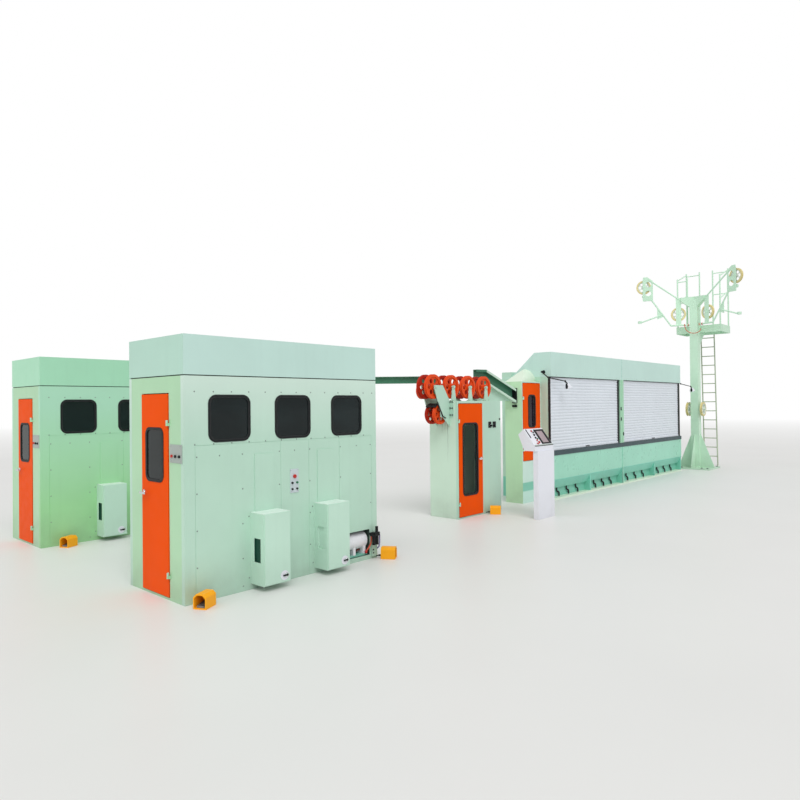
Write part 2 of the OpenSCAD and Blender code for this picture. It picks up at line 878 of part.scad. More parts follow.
// One roller shutter: a stack of bulged slats.
module shutter(x0, x1) {
  slats = floor((fascia_z - shutter_z)/slat_pitch);
  h = (fascia_z - shutter_z)/slats;
  translate([x0, shutter_set, shutter_z]) rotate([90, 0, 90]) linear_extrude(x1 - x0) union() {
    square([panel_t - shutter_set, fascia_z - shutter_z]);
    for (i = [0:1:slats - 1]) {
      polygon([[0, i*h + 2], [-slat_bulge, i*h + h*0.3], [-slat_bulge, i*h + h*0.7], [0, i*h + h - 2]]);
    }
  }
}

module housing_shutters() {
  at_line(house_x, house_y) color(white) {
    shutter(corner_seal, post_x);
    shutter(post_x + post_w, house_l - end_seal);
  }
}

hood_flat = 335;
hood_run = 490;
enclosure_h = 100;

module housing_hood() {
  at_line(house_x, house_y) color(mint) {
    rotate([90, 0, 90]) linear_extrude(house_l) polygon([
      [0, fascia_z], [house_w, fascia_z], [house_w, fascia_z + 10], [hood_flat + hood_run, fascia_z + 10],
      [hood_flat, house_h], [0, house_h]
    ]);
    joint_strip(fascia_z, house_h, joint_t + 10);
  }
}

module housing_rear_enclosure() {
  at_line(house_x, house_y) color(mint)
    translate([0, hood_flat + hood_run + plate_clear, fascia_z + 10])
      cube([house_l, house_w - hood_flat - hood_run - plate_clear, enclosure_h]);
}

hose_r = 14;
hose_bend = 45;
hose_y = toe_set - hose_r - plate_clear;

// A drain hose: down from the sloping band, across, and down to the base strip.
module drain_hose() {
  mid = (band_z + base_strip)/2;
  translate([0, 0, mid + hose_bend]) cylinder(r = hose_r, h = band_z - mid - hose_bend);
  translate([hose_bend, 0, mid + hose_bend]) rotate([90, 0, 0])
    rotate([0, 0, 180]) rotate_extrude(angle = 90) translate([hose_bend, 0]) circle(hose_r);
  translate([hose_bend, 0, mid - hose_bend]) rotate([90, 0, 0])
    rotate_extrude(angle = 90) translate([hose_bend, 0]) circle(hose_r);
  translate([2*hose_bend, 0, base_strip]) cylinder(r = hose_r, h = mid - hose_bend - base_strip);
}

module drain_hoses() {
  at_line(house_x, house_y) color(black) {
    for (b = [0:3]) {
      bay = toe_plates[b + 1] - toe_plates[b] - toe_plate_t;
      for (i = [1:3]) {
        translate([toe_plates[b] + toe_plate_t + bay*i/4 - hose_bend, hose_y, 0]) drain_hose();
      }
    }
  }
}

lamp_y = 143;
lamp_z = fascia_z + 85;
lamp_r = 10;

// A lamp on a jointed arm from an end wall of the housing, whose outside lies towards side, to reach_x.
module work_lamp_at(x, side, reach_x) {
  elbow = [x + side*70, 10, lamp_z - 107];
  wrist = [reach_x, -140, lamp_z - 170];
  color(black) {
    translate([x + side*5, lamp_y, lamp_z]) rotate([0, 90, 0]) cylinder(r = 32, h = 10, center = true);
    bar([x + side*5, lamp_y, lamp_z], [x + side*70, lamp_y, lamp_z], lamp_r + 2);
    bar([x + side*70, lamp_y, lamp_z], elbow, lamp_r);
    bar(elbow, wrist, lamp_r - 1);
    for (p = [[x + side*70, lamp_y, lamp_z], elbow, wrist]) {
      translate(p) sphere(lamp_r + 8);
    }
    bar(wrist, wrist + [75, 0, -45], lamp_r + 3);
  }
  color(white) translate(wrist + [70, 0, -40]) rotate([0, 150, 0]) cylinder(r1 = 30, r2 = 62, h = 80);
}

// One lamp reaches over the first shutter, the other stands out at the end towards the tower.
module work_lamp() {
  at_line(house_x, house_y) work_lamp_at(0, -1, 270);
}

module far_work_lamp() {
  at_line(house_x, house_y) work_lamp_at(house_l, 1, house_l + 340);
}

outlet_frame = 20;
outlet_leaf_w = outlet_l - 2*outlet_frame;
outlet_leaf_h = outlet_h - outlet_door_z - 20;
outlet_glass_w = 230;
outlet_glass_h = 560;
outlet_glass_z = 600;
outlet_handle_z = 520;

module outlet_cabinet() {
  at_line(house_x - outlet_l, house_y + outlet_set) color(mint) {
    difference() {
      cube([outlet_l, outlet_w, outlet_h]);
      translate([outlet_frame, -1, outlet_door_z])
        cube([outlet_leaf_w, outlet_w - wall + 1, outlet_leaf_h]);
    }
    translate([outlet_frame, 0, outlet_door_z]) {
      hinge_fixed(hinge_z_low, outlet_frame);
      hinge_fixed(outlet_leaf_h - hinge_z_top, outlet_frame);
    }
    for (slot = [[roller_z, 265], [roller_z - 70, 40]]) {
      translate([-roller_t, roller_y, slot[0]]) difference() {
        cube([roller_t, 90, slot[1]]);
        translate([-1, 12, 10]) cube([roller_t - 7, 66, slot[1] - 20]);
      }
    }
  }
}

cover_r = outlet_w - 100;
cover_steps = 8;

// The cover that rises from the cabinet's outer edge to a quarter round against the housing's end wall.
module outlet_cover() {
  rim = [for (i = [0:cover_steps]) [
    outlet_l, outlet_w - cover_r*cos(90*i/cover_steps), cover_r*sin(90*i/cover_steps)
  ]];
  at_line(house_x - outlet_l, house_y + outlet_set) color(mint)
    translate([0, 0, outlet_h]) polyhedron(
      points = concat([[0, 0, 0], [0, outlet_w, 0], [outlet_l, outlet_w, 0]], rim),
      faces = concat(
        [[0, 3, 2, 1], [1, 2, cover_steps + 3], [0, 1, cover_steps + 3]],
        [concat([for (i = [0:cover_steps]) i + 3], [2])],
        [for (i = [0:cover_steps - 1]) [0, i + 4, i + 3]]
      )
    );
}

module outlet_door() {
  at_line(house_x - outlet_l + outlet_frame, house_y + outlet_set) translate([0, 0, outlet_door_z])
    door_leaf(outlet_leaf_w, outlet_leaf_h, (outlet_leaf_w - outlet_glass_w)/2, outlet_glass_z,
      outlet_glass_w, outlet_glass_h, outlet_handle_z);
}

module outlet_door_glass() {
  at_line(house_x - outlet_l + outlet_frame, house_y + outlet_set)
    translate([(outlet_leaf_w - outlet_glass_w)/2, -leaf_proud, outlet_door_z + outlet_glass_z])
      sealed_pane(outlet_glass_w, outlet_glass_h, 60, leaf_t);
}

base_s = 900;
base_t = 35;
gusset_h = 900;
post_w_arm = 130;
post_r_arm = 390;
head_top = column_h + 70;
root_low = column_h - 660;
inner_z = column_h - 363;
arm_bar = 22;
chord_r = 19;
sheave_w = 50;
sheave_off = plate/2 + plate_clear + hub_l/2;

// Puts an arm's plane, drawn along X, at its angle on the column.
module on_arm(side) {
  at_line(tower_x, tower_y) rotate([0, 0, side*arm_angle]) children();
}

module tower_column() {
  color(mint) {
    at_line(tower_x, tower_y) {
      translate([-column_s/2, -column_s/2, base_t]) cube([column_s, column_s, column_h - base_t]);
      translate([-base_s/2, -base_s/2, 0]) cube([base_s, base_s, base_t]);
      for (a = [0:90:270]) {
        rotate([0, 0, a]) flat_plate(plate)
          polygon([
            [column_s/2, base_t], [base_s/2 - 20, base_t], [base_s/2 - 20, base_t + 60],
            [column_s/2 + 20, gusset_h], [column_s/2, gusset_h]
          ]);
      }
      for (s = [-1, 1]) {
        translate([0, s*(column_s/2 + entry_off/2), entry_z]) rod_y(axle_r, entry_off);
        translate([0, s*(entry_y + hub_l/2 + plate_clear + nut_h/2), entry_z]) nut_y();
        translate([0, s*(column_s/2 - plate), 0]) flat_plate(plate) polygon([
          [column_s/2, deck_z - deck_h - 320], [column_s/2 + 340, deck_z - deck_h - 30],
          [column_s/2 + 340, deck_z - deck_h], [column_s/2, deck_z - deck_h]
        ]);
      }
    }
    for (s = [-1, 1]) {
      on_arm(s) flat_plate(110) polygon([
        [0, column_h - 200], [column_s/2 + 10, column_h - 200], [post_r_arm - post_w_arm/2, column_h - 30],
        [post_r_arm - post_w_arm/2, head_top], [0, head_top]
      ]);
    }
  }
}

// One arm: the root plate, two chords, the end plate with its two holes, and the guide below.
module arm(side) {
  tip = arm_reach - 30;
  flat_plate(plate) translate([post_r_arm - post_w_arm/2, root_low - 10])
    square([post_w_arm, head_top - root_low + 10]);
  translate([post_r_arm - post_w_arm/2, -55, column_h - 30]) cube([plate, 110, head_top - column_h + 30]);
  bar_xz([column_s/2, root_low], [arm_root_low, root_low], arm_bar);
  bar_xz([post_r_arm, head_top - 30], [tip - 100, arm_z + 190], chord_r);
  bar_xz([arm_root_low - 8, root_low], [tip - 150, arm_z - 340], chord_r);
  difference() {
    flat_plate(plate) polygon([
      [tip - 200, arm_z - 380], [arm_reach + 30, arm_z - 380], [arm_reach + 30, arm_z + 190],
      [tip + 40, arm_z + 270], [tip - 60, arm_z + 270], [tip - 200, arm_z + 160]
    ]);
    translate([arm_reach - 120, 0, arm_z + 70]) rod_y(hole_r, 40);
    translate([arm_reach - 110, 0, arm_z - 170]) rod_y(hole_r, 40);
  }
  axle_with_nut(arm_reach, arm_z, side);
  axle_with_nut(post_r_arm, inner_z, side);
  translate([arm_reach, -side*40, arm_z - 250]) rod_y(45, 60);
  translate([arm_reach, -side*18, arm_z - 250]) rod_y(axle_r, 56);
  bar_xz([arm_root_low + 210, arm_z - 770], [arm_reach + 72, arm_z - 950], 18);
  flat_plate(plate) polygon([
    [arm_root_low + 160, root_low + 250], [arm_root_low + 330, root_low + 520],
    [arm_root_low + 330, root_low + 190]
  ]);
  translate([arm_reach + 110, 0, arm_z - 975]) rotate_extrude() translate([24, 0]) square([26, 60]);
}

arm_root_low = 590;
hole_r = 72;

// An axle through a plate with a nut beyond the sheave.
module axle_with_nut(x, z, side) {
  l = sheave_off + hub_l/2 + plate_clear + nut_h;
  translate([x, -side*(l - 10)/2, z]) rod_y(axle_r, l + 10);
  translate([x, -side*(l - nut_h/2), z]) nut_y();
}

module tower_arms() {
  color(mint) difference() {
    for (s = [-1, 1]) {
      on_arm(s) arm(s);
    }
    at_line(tower_x, tower_y) translate([-column_s/2, -column_s/2, 0]) cube([column_s, column_s, column_h]);
  }
}

module on_arm_sheave(side, r, z) {
  color("#e1d796") on_arm(side) translate([r, -side*sheave_off, z])
    sheave(tower_sheave_d, sheave_w, hub_d, hub_l, axle_r + fit, 6);
}

entry_z = 1560;
entry_y = 180;
entry_off = entry_y + hub_l/2 + plate_clear + nut_h - column_s/2;

module entry_sheave(side) {
  color("#e1d796") at_line(tower_x, tower_y) translate([0, side*entry_y, entry_z])
    sheave(tower_sheave_d, sheave_w, hub_d, hub_l, axle_r + fit, 6);
}

deck_h = 190;
deck_y = -60;
post_r = 18;
rail_r = 15;
knee_drop = 620;
rail_in = 30;
near_x = column_s/2 + rail_in;
far_x = column_s/2 + deck_l - rail_in;
left_y = deck_y + deck_w/2 - rail_in;
right_y = deck_y - deck_w/2 + rail_in;
near_top = deck_z + near_rail;
far_top = deck_z + far_rail;

module tower_platform() {
  at_line(tower_x, tower_y) color(mint) difference() {
    translate([column_s/2, deck_y - deck_w/2, deck_z - deck_h]) cube([deck_l, deck_w, deck_h]);
    translate([column_s/2 + 8, deck_y - deck_w/2 + 8, deck_z - deck_h - 1])
      cube([deck_l - 16, deck_w - 16, deck_h - 40]);
    translate([column_s/2 + 8, deck_y - deck_w/2 + 8, deck_z - 30]) cube([deck_l - 16, deck_w - 16, 31]);
  }
}

// The railing: low posts by the column, tall ones at the ladder, joined by sloping side rails.
module tower_railing() {
  gate_y = ladder_y + ladder_w/2 + 90;
  at_line(tower_x, tower_y) color(mint) {
    for (y = [left_y, gate_y, right_y]) {
      translate([near_x, y, deck_z - 30]) cylinder(r = post_r, h = near_rail + 30);
    }
    for (y = [left_y, ladder_y + ladder_w/2, ladder_y - ladder_w/2, right_y]) {
      translate([far_x, y, deck_z - 30]) cylinder(r = post_r, h = far_rail + 30);
    }
    for (y = [left_y, right_y]) {
      translate([0, y, 0]) {
        bar_xz([near_x, near_top - 40], [far_x, far_top - 40], rail_r);
        bar_xz([near_x, near_top - knee_drop], [far_x, far_top - knee_drop], rail_r);
      }
    }
    for (z = [near_top - 80, near_top - knee_drop - 40]) {
      rail_y(near_x, gate_y, left_y, z);
    }
    for (z = [far_top - 80, far_top - knee_drop - 40]) {
      rail_y(far_x, ladder_y + ladder_w/2, left_y, z);
      rail_y(far_x, right_y, ladder_y - ladder_w/2, z);
    }
  }
}

// A rail along Y between two posts.
module rail_y(x, y0, y1, z) {
  translate([x, (y0 + y1)/2, z]) rod_y(rail_r - 2, y1 - y0);
}

ladder_y = -40;
stile_w = 60;
stile_t = 16;
ladder_lean = 180;
rung_r = 12;
last_rung = 100;
ladder_x = column_s/2 + deck_l + stile_w/2;

// A leaning ladder: flat stiles with round rungs welded between them.
module tower_ladder() {
  at_line(tower_x, tower_y) color(mint_dark) {
    for (s = [-1, 1]) {
      translate([ladder_x, ladder_y + s*ladder_w/2, 0]) flat_plate(stile_t) polygon([
        [ladder_lean - stile_w/2, 0], [ladder_lean + stile_w/2, 0], [stile_w/2, deck_z], [-stile_w/2, deck_z]
      ]);
    }
    for (z = [rung_pitch:rung_pitch:deck_z - last_rung]) {
      translate([ladder_x + ladder_lean*(1 - z/deck_z), ladder_y, z])
        rod_y(rung_r, ladder_w - stile_t - 2*face_gap);
    }
  }
}

console_x = stand_x + 745;
console_y = stand_y - 943;
desk_side = 30;
desk_d = 190;
desk_lip = 70;
desk_rise = 330;

module console_pedestal() {
  at_line(console_x, console_y) color(white) cube([console_w, console_d, console_h]);
}

// The desk's side view: a sloping face over the pedestal, with its back leaning past it.
module console_desk() {
  at_line(console_x, console_y) color(white)
    translate([-desk_side, 0, 0]) rotate([90, 0, 90]) linear_extrude(console_w + 2*desk_side) polygon([
      [30, console_h], [desk_d + 30, console_h], [desk_d + 136, console_h + desk_rise - 84],
      [desk_d + 40, console_h + desk_rise], [30, console_h + desk_lip]
    ]);
}

switch_l = 165;
switch_w = 125;
switch_h = 130;
switch_t = 9;
switch_reach = 140;
bevel = 28;

// The front view of a foot switch's hood, inset by its wall.
module hood_outline(inset) {
  w = switch_w/2 - inset;
  h = switch_h - inset;
  polygon([[-w, inset], [w, inset], [w, h - bevel], [w - bevel, h], [-w + bevel, h], [-w, h - bevel]]);
}

// A foot switch about its middle: a hood that opens towards -X over its treadle.
module foot_switch() {
  translate([-switch_l/2, 0, 0]) {
    difference() {
      rotate([90, 0, 90]) linear_extrude(switch_l) hood_outline(0);
      translate([-1, 0, 0]) rotate([90, 0, 90]) linear_extrude(switch_l - 20) hood_outline(switch_t);
    }
    flat_plate(switch_w - 50)
      polygon([[18, switch_t - 1], [switch_l - 19, switch_t - 1], [switch_l - 19, 44], [18, 24]]);
  }
}

module foot_switches() {
  color("#f0961e") {
    at_line(switch_reach - 30, -switch_reach) rotate(28) foot_switch();
    at_line(cabin_l + 50, -switch_reach) rotate(123) foot_switch();
    at_line(2*switch_reach, cabin_pitch - switch_reach) rotate(28) foot_switch();
    at_line(stand_x + stand_frame + stand_door_w + switch_reach, stand_y - switch_reach)
      rotate(123) foot_switch();
  }
}

near_cabin() cabin_front_wall();  // near_cabin_front_wall
near_cabin() cabin_door_wall();  // near_cabin_door_wall
near_cabin() cabin_rear_walls();  // near_cabin_rear_walls
near_cabin() cabin_hood();  // near_cabin_hood
near_cabin() cabin_door();  // near_cabin_door
near_cabin() cabin_door_glass();  // near_cabin_door_glass
far_cabin() cabin_front_wall();  // far_cabin_front_wall
far_cabin() cabin_door_wall();  // far_cabin_door_wall
far_cabin() cabin_rear_walls();  // far_cabin_rear_walls
far_cabin() cabin_hood();  // far_cabin_hood
far_cabin() cabin_door();  // far_cabin_door
far_cabin() cabin_door_glass();  // far_cabin_door_glass
both_cabins() windows();  // cabin_windows
both_cabins() service_boxes();  // cabin_service_boxes
both_cabins() air_unit();  // cabin_air_units
guide_stand_shell();
guide_stand_front();
guide_stand_door();
guide_stand_door_glass();
guide_brackets();
guide_end_bracket();
guide_pair(0);  // guide_sheaves_1
guide_pair(1);  // guide_sheaves_2
guide_pair(2);  // guide_sheaves_3
guide_pair(3);  // guide_sheaves_4
guide_end_sheaves();
guide_side_sheave();
guide_inner_wheel();
inlet_trough();
outlet_trough();
housing_base();
housing_lower_panels();
housing_core();
housing_posts();
housing_sill();
housing_shutters();
housing_hood();
housing_rear_enclosure();
drain_hoses();
work_lamp();
far_work_lamp();
outlet_cabinet();
outlet_cover();
outlet_door();
outlet_door_glass();
tower_column();
tower_arms();
tower_platform();
tower_railing();
tower_ladder();
on_arm_sheave(1, arm_reach, arm_z);  // tower_left_sheave
on_arm_sheave(-1, arm_reach, arm_z);  // tower_right_sheave
on_arm_sheave(1, post_r_arm, inner_z);  // tower_left_inner_sheave
on_arm_sheave(-1, post_r_arm, inner_z);  // tower_right_inner_sheave
entry_sheave(1);  // tower_left_entry_sheave
entry_sheave(-1);  // tower_right_entry_sheave
console_pedestal();
console_desk();
foot_switches();
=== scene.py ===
"""Looks of the two-wire drawing line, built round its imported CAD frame."""

import math

import bpy
import bmesh
from mathutils import Matrix, Vector


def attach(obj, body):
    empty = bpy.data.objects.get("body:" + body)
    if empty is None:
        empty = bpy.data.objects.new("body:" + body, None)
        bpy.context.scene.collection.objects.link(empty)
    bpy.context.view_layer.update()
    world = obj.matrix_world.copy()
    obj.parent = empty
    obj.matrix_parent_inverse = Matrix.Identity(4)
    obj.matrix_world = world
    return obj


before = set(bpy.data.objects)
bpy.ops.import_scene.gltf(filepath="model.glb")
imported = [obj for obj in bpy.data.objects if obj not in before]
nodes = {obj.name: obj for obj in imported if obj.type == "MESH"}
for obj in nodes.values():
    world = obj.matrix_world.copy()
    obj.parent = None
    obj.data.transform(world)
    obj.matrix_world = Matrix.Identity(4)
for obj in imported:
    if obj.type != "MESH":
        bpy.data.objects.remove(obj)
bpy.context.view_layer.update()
scene = bpy.context.scene

# The CAD frame's origin, measured from the near cabin's outer front corner.
ORIGIN = Vector((10.770, 1.110, 0.0))
CABIN_PITCH = 3.530
CABIN_FRONTS = (0.0, CABIN_PITCH)


def at_line(x, y, z=0.0):
    """A point of the line, measured from the near cabin's outer front corner, in the CAD frame."""
    return Vector((x, y, z)) - ORIGIN


def rgb(code, k=1.0):
    """Linear colour of a hex code, dimmed by k."""
    values = [int(code[i:i + 2], 16) / 255 for i in (0, 2, 4)]
    linear = [v / 12.92 if v <= 0.04045 else ((v + 0.055) / 1.055) ** 2.4 for v in values]
    return (*[v * k for v in linear], 1.0)


# Materials
# Darkening towards the floor: its tone, and the height at which it has faded out.
FLOOR_DARK_TONE, FLOOR_DARK_TOP = "5d5a4a", 0.45
DRIP_TONE, DRIP_SHARE = "4c5a4a", 0.75


def new_material(name):
    """A material with its node tree and its shader."""
    mat = bpy.data.materials.new(name)
    mat.use_nodes = True
    tree = mat.node_tree
    shader = tree.nodes["Principled BSDF"]
    return mat, tree, shader


def feed(tree, socket, value):
    """Links an output to the socket, or sets the socket to a plain value."""
    if isinstance(value, bpy.types.NodeSocket):
        tree.links.new(value, socket)
    else:
        socket.default_value = value


def add(tree, kind, inputs=None, **props):
    """A node with its properties and input values or links."""
    node = tree.nodes.new(kind)
    for key, value in props.items():
        setattr(node, key, value)
    for key, value in (inputs or {}).items():
        feed(tree, node.inputs[key], value)
    return node


def noise(tree, scale, detail=3.0, stretch=None, rough=0.5):
    """Noise in object space, stretched by a scale along each axis."""
    coord = add(tree, "ShaderNodeTexCoord")
    vector = coord.outputs["Object"]
    if stretch:
        vector = add(tree, "ShaderNodeMapping", {"Vector": vector, "Scale": stretch}).outputs[0]
    node = add(tree, "ShaderNodeTexNoise", {"Vector": vector, "Scale": scale, "Detail": detail,
                                            "Roughness": rough})
    return node.outputs["Fac"]


def remap(tree, value, lo, hi, to_lo, to_hi):
    """A value moved from one range to another, and kept inside it."""
    node = add(tree, "ShaderNodeMapRange", {"Value": value, "From Min": lo, "From Max": hi,
                                            "To Min": to_lo, "To Max": to_hi})
    return node.outputs[0]


def math_node(tree, op, a, b):
    """The result of a sum on two values or outputs."""
    node = tree.nodes.new("ShaderNodeMath")
    node.operation = op
    for i, value in enumerate((a, b)):
        feed(tree, node.inputs[i], value)
    return node.outputs[0]


def mix(tree, factor, a, b, blend="MIX"):
    """Two colours blended by a factor."""
    node = tree.nodes.new("ShaderNodeMix")
    node.data_type = "RGBA"
    node.blend_type = blend
    for index, value in ((0, factor), (6, a), (7, b)):
        feed(tree, node.inputs[index], value)
    return node.outputs[2]


def grey(tree, value):
    """A grey colour of a value."""
    node = add(tree, "ShaderNodeCombineColor", {"Red": value, "Green": value, "Blue": value})
    return node.outputs[0]


def object_parts(tree):
    """The shaded point's place in the object, as a node with the outputs X, Y and Z."""
    coord = add(tree, "ShaderNodeTexCoord")
    return add(tree, "ShaderNodeSeparateXYZ", {"Vector": coord.outputs["Object"]})


def tint(tree, shader, code, tone):
    """Gives the shader a colour that gets lighter and darker with tone."""
    colour = mix(tree, 1.0, rgb(code), grey(tree, tone), "MULTIPLY")
    tree.links.new(colour, shader.inputs["Base Color"])


def roughen(tree, shader, scale, strength, depth):
    """Fine bumps on the surface."""
    height = noise(tree, scale, 2.0)
    bump = add(tree, "ShaderNodeBump", {"Height": height, "Strength": strength, "Distance": depth})
    tree.links.new(bump.outputs[0], shader.inputs["Normal"])


def height_mask(tree, top, softness=0.5):
    """1 at the floor, 0 above top metres, broken up by noise."""
    ramp = remap(tree, object_parts(tree).outputs["Z"], 0.0, top, 1.0, 0.0)
    cloud = remap(tree, noise(tree, 5.0, 5.0), 0.35, 0.65, 1.0 - softness, 1.0)
    return math_node(tree, "MULTIPLY", ramp, cloud)


def drip_mask(tree, at, width, top, low):
    """1 along a thin ragged line that runs down a face at y = at, from top to low metres."""
    parts = object_parts(tree)
    wander = remap(tree, noise(tree, 6.0, 2.0, (0.2, 0.2, 1.0)), 0.3, 0.7, -0.006, 0.006)
    y = math_node(tree, "ADD", parts.outputs["Y"], wander)
    off = math_node(tree, "ABSOLUTE", math_node(tree, "SUBTRACT", y, at), 0.0)
    line = remap(tree, off, 0.0, width, 1.0, 0.0)
    fade = remap(tree, parts.outputs["Z"], low, top, 0.0, 1.0)
    above = remap(tree, parts.outputs["Z"], top, top + 0.02, 1.0, 0.0)
    return math_node(tree, "MULTIPLY", line, math_node(tree, "MULTIPLY", fade, above))


def paint(name, code, rough=0.36, vary=0.05, floor_dark=0.30, streak=0.02, peel=0.06, worn=None, drips=(),
          spec=0.5, painted_light_bands=()):
    """Sprayed enamel on sheet metal.

    It has a varied tone, run streaks, darkening towards the floor, worn specks, bands of painted light and
    shade by height (each holds its colour, the two heights that it fades between, and its share), drips and
    orange peel.
    """
    mat, tree, shader = new_material(name)
    tone = remap(tree, noise(tree, 1.3, 4.0), 0.3, 0.7, 1.0 - vary, 1.0 + vary * 0.6)
    colour = mix(tree, 1.0, rgb(code), grey(tree, tone), "MULTIPLY")
    runs = remap(tree, noise(tree, 3.0, 3.0, (5.0, 5.0, 0.35)), 0.52, 0.75, 1.0, 1.0 - streak)
    colour = mix(tree, 1.0, colour, grey(tree, runs), "MULTIPLY")
    # Darker towards the floor, broken up by noise.
    if floor_dark:
        floor_darkening = math_node(tree, "MULTIPLY", height_mask(tree, FLOOR_DARK_TOP), floor_dark)
        colour = mix(tree, floor_darkening, colour, rgb(FLOOR_DARK_TONE))
    if worn:
        speck = remap(tree, noise(tree, 45.0, 6.0, rough=0.7), 0.66, 0.72, 0.0, 0.7)
        colour = mix(tree, speck, colour, rgb(worn))
    # Bands of painted light and shade by height, each blended in between its two heights.
    for pale, low, top, share in painted_light_bands:
        fade = remap(tree, object_parts(tree).outputs["Z"], low, top, 0.0, share)
        colour = mix(tree, fade, colour, rgb(pale))
    for drip in drips:
        stain = math_node(tree, "MULTIPLY", drip_mask(tree, *drip), DRIP_SHARE)
        colour = mix(tree, stain, colour, rgb(DRIP_TONE))
    tree.links.new(colour, shader.inputs["Base Color"])
    gloss = remap(tree, noise(tree, 9.0, 4.0), 0.3, 0.7, rough - 0.05, rough + 0.08)
    tree.links.new(gloss, shader.inputs["Roughness"])
    roughen(tree, shader, 140.0, peel, 0.002)
    shader.inputs["Specular IOR Level"].default_value = spec
    return mat


def rubber(name, code="15191b", rough=0.62, spec=0.5):
    """Rubber or moulded plastic, a little dusty."""
    mat, tree, shader = new_material(name)
    tone = remap(tree, noise(tree, 22.0, 4.0), 0.3, 0.7, 0.8, 1.25)
    tint(tree, shader, code, tone)
    dust = remap(tree, noise(tree, 40.0, 4.0), 0.3, 0.7, rough - 0.08, rough + 0.1)
    tree.links.new(dust, shader.inputs["Roughness"])
    roughen(tree, shader, 300.0, 0.15, 0.001)
    shader.inputs["Specular IOR Level"].default_value = spec
    return mat


def metal(name, code, rough=0.3, scratch=(1.0, 40.0, 40.0)):
    """Bare steel or chrome with fine directional scratches."""
    mat, tree, shader = new_material(name)
    lines = noise(tree, 30.0, 4.0, scratch)
    tone = remap(tree, lines, 0.3, 0.7, 0.88, 1.08)
    tint(tree, shader, code, tone)
    tree.links.new(remap(tree, lines, 0.3, 0.7, rough - 0.07, rough + 0.12), shader.inputs["Roughness"])
    shader.inputs["Metallic"].default_value = 1.0
    return mat


def glass(name, code, alpha, rough=0.04):
    """Tinted pane: dark, glossy and partly see-through, with faint smears."""
    mat, tree, shader = new_material(name)
    smear = remap(tree, noise(tree, 2.4, 5.0, (1.0, 1.0, 2.0)), 0.4, 0.75, 0.85, 1.6)
    tint(tree, shader, code, smear)
    film = remap(tree, noise(tree, 6.0, 4.0), 0.4, 0.7, rough, rough + 0.08)
    tree.links.new(film, shader.inputs["Roughness"])
    shader.inputs["Alpha"].default_value = alpha
    shader.inputs["IOR"].default_value = 1.52
    shader.inputs["Specular IOR Level"].default_value = 0.3
    return mat


MINT = paint("mint_enamel", "bcdecb")
# Painted light: the near cabin's walls turn paler and bluer from 1.40 m up to 2.04 m.
MINT_CABIN = paint("mint_cabin_enamel", "bcdecb", painted_light_bands=[("e8f4ee", 1.40, 2.04, 0.45)])
# Painted light: the far cabin's walls turn paler from 0.50 m up to 1.80 m.
MINT_FAR = paint("mint_far_enamel", "a4dca2", painted_light_bands=[("b4e4c8", 0.50, 1.80, 1.0)])
MINT_END = paint("mint_end_enamel", "b2dcb5")
# Painted shade: the near hood's end faces, which look to -X, get a darker mint than its front.
MINT_HOOD_END_SHADE = paint("mint_hood_end_painted_shade", "b8ddcd", vary=0.04, floor_dark=0.0)
# Painted shade: the niche's inside is painted dark green-grey.
NICHE_SHADE = paint("niche_painted_shade", "3a4c44", vary=0.12, floor_dark=0.0)
MINT_FAR_HOOD = paint("mint_far_hood_enamel", "aee5c4", vary=0.04, floor_dark=0.0)
# Painted light: the boxes' top faces, at 0.737 m, are paler.
MINT_BOX = paint("mint_box_enamel", "c4e4d2", floor_dark=0.15, painted_light_bands=[("f0faf4", 0.730, 0.7368, 0.7)])
MINT_OUTLET = paint("mint_outlet_enamel", "c6eac2")
# Painted shade: the foot's front turns dark from 0.37 m down to 0.20 m, as if shaded by a sloping band, and
# paler again below.
FOOT_SHADE_BANDS = [("84c8b2", 0.370, 0.352, 1.0), ("c4e6da", 0.220, 0.200, 1.0)]
MINT_FOOT = paint("mint_foot_enamel", "d0ebe0", painted_light_bands=FOOT_SHADE_BANDS)
DRIPS = [(-0.187, 0.008, 1.51, 0.80), (-0.080, 0.006, 1.44, 1.30), (-0.137, 0.004, 1.45, 1.25)]
MINT_STAND = paint("mint_stand_enamel", "d2e8d6", drips=DRIPS)
MINT_HOOD = paint("mint_hood_enamel", "c4e3da", vary=0.04, floor_dark=0.0)
MINT_PANEL = paint("mint_panel_enamel", "9fdcc4", vary=0.07, rough=0.30)
MINT_TOE = paint("mint_toe_enamel", "84d4be", vary=0.10, floor_dark=0.2)
MINT_POST = paint("mint_post_enamel", "a9d9b9", vary=0.05)
MINT_TOWER = paint("mint_tower_enamel", "ccedd4", vary=0.06, worn="9aaa94")
MINT_PALE = paint("pale_cover_enamel", "dcecd8", vary=0.04, floor_dark=0.0)
LADDER = paint("ladder_enamel", "a9b99c", vary=0.15, worn="7a6a55")
ORANGE = paint("orange_door_enamel", "f25408", rough=0.36, vary=0.05, floor_dark=0.10, spec=0.03)
SHEAVE_ORANGE = paint("orange_sheave_enamel", "e84e18", rough=0.42, vary=0.10, floor_dark=0.0,
                      worn="b3371a", spec=0.2)
SHEAVE_RED = paint("red_sheave_enamel", "b82c18", rough=0.42, vary=0.12, floor_dark=0.0,
                   worn="7d2012", spec=0.2)
CREAM = paint("cream_sheave_enamel", "e3d59a", rough=0.45, vary=0.10, floor_dark=0.0, worn="b9a565")
PALE_DISC = paint("pale_disc_enamel", "dfe6dc", rough=0.45, vary=0.06, floor_dark=0.0)
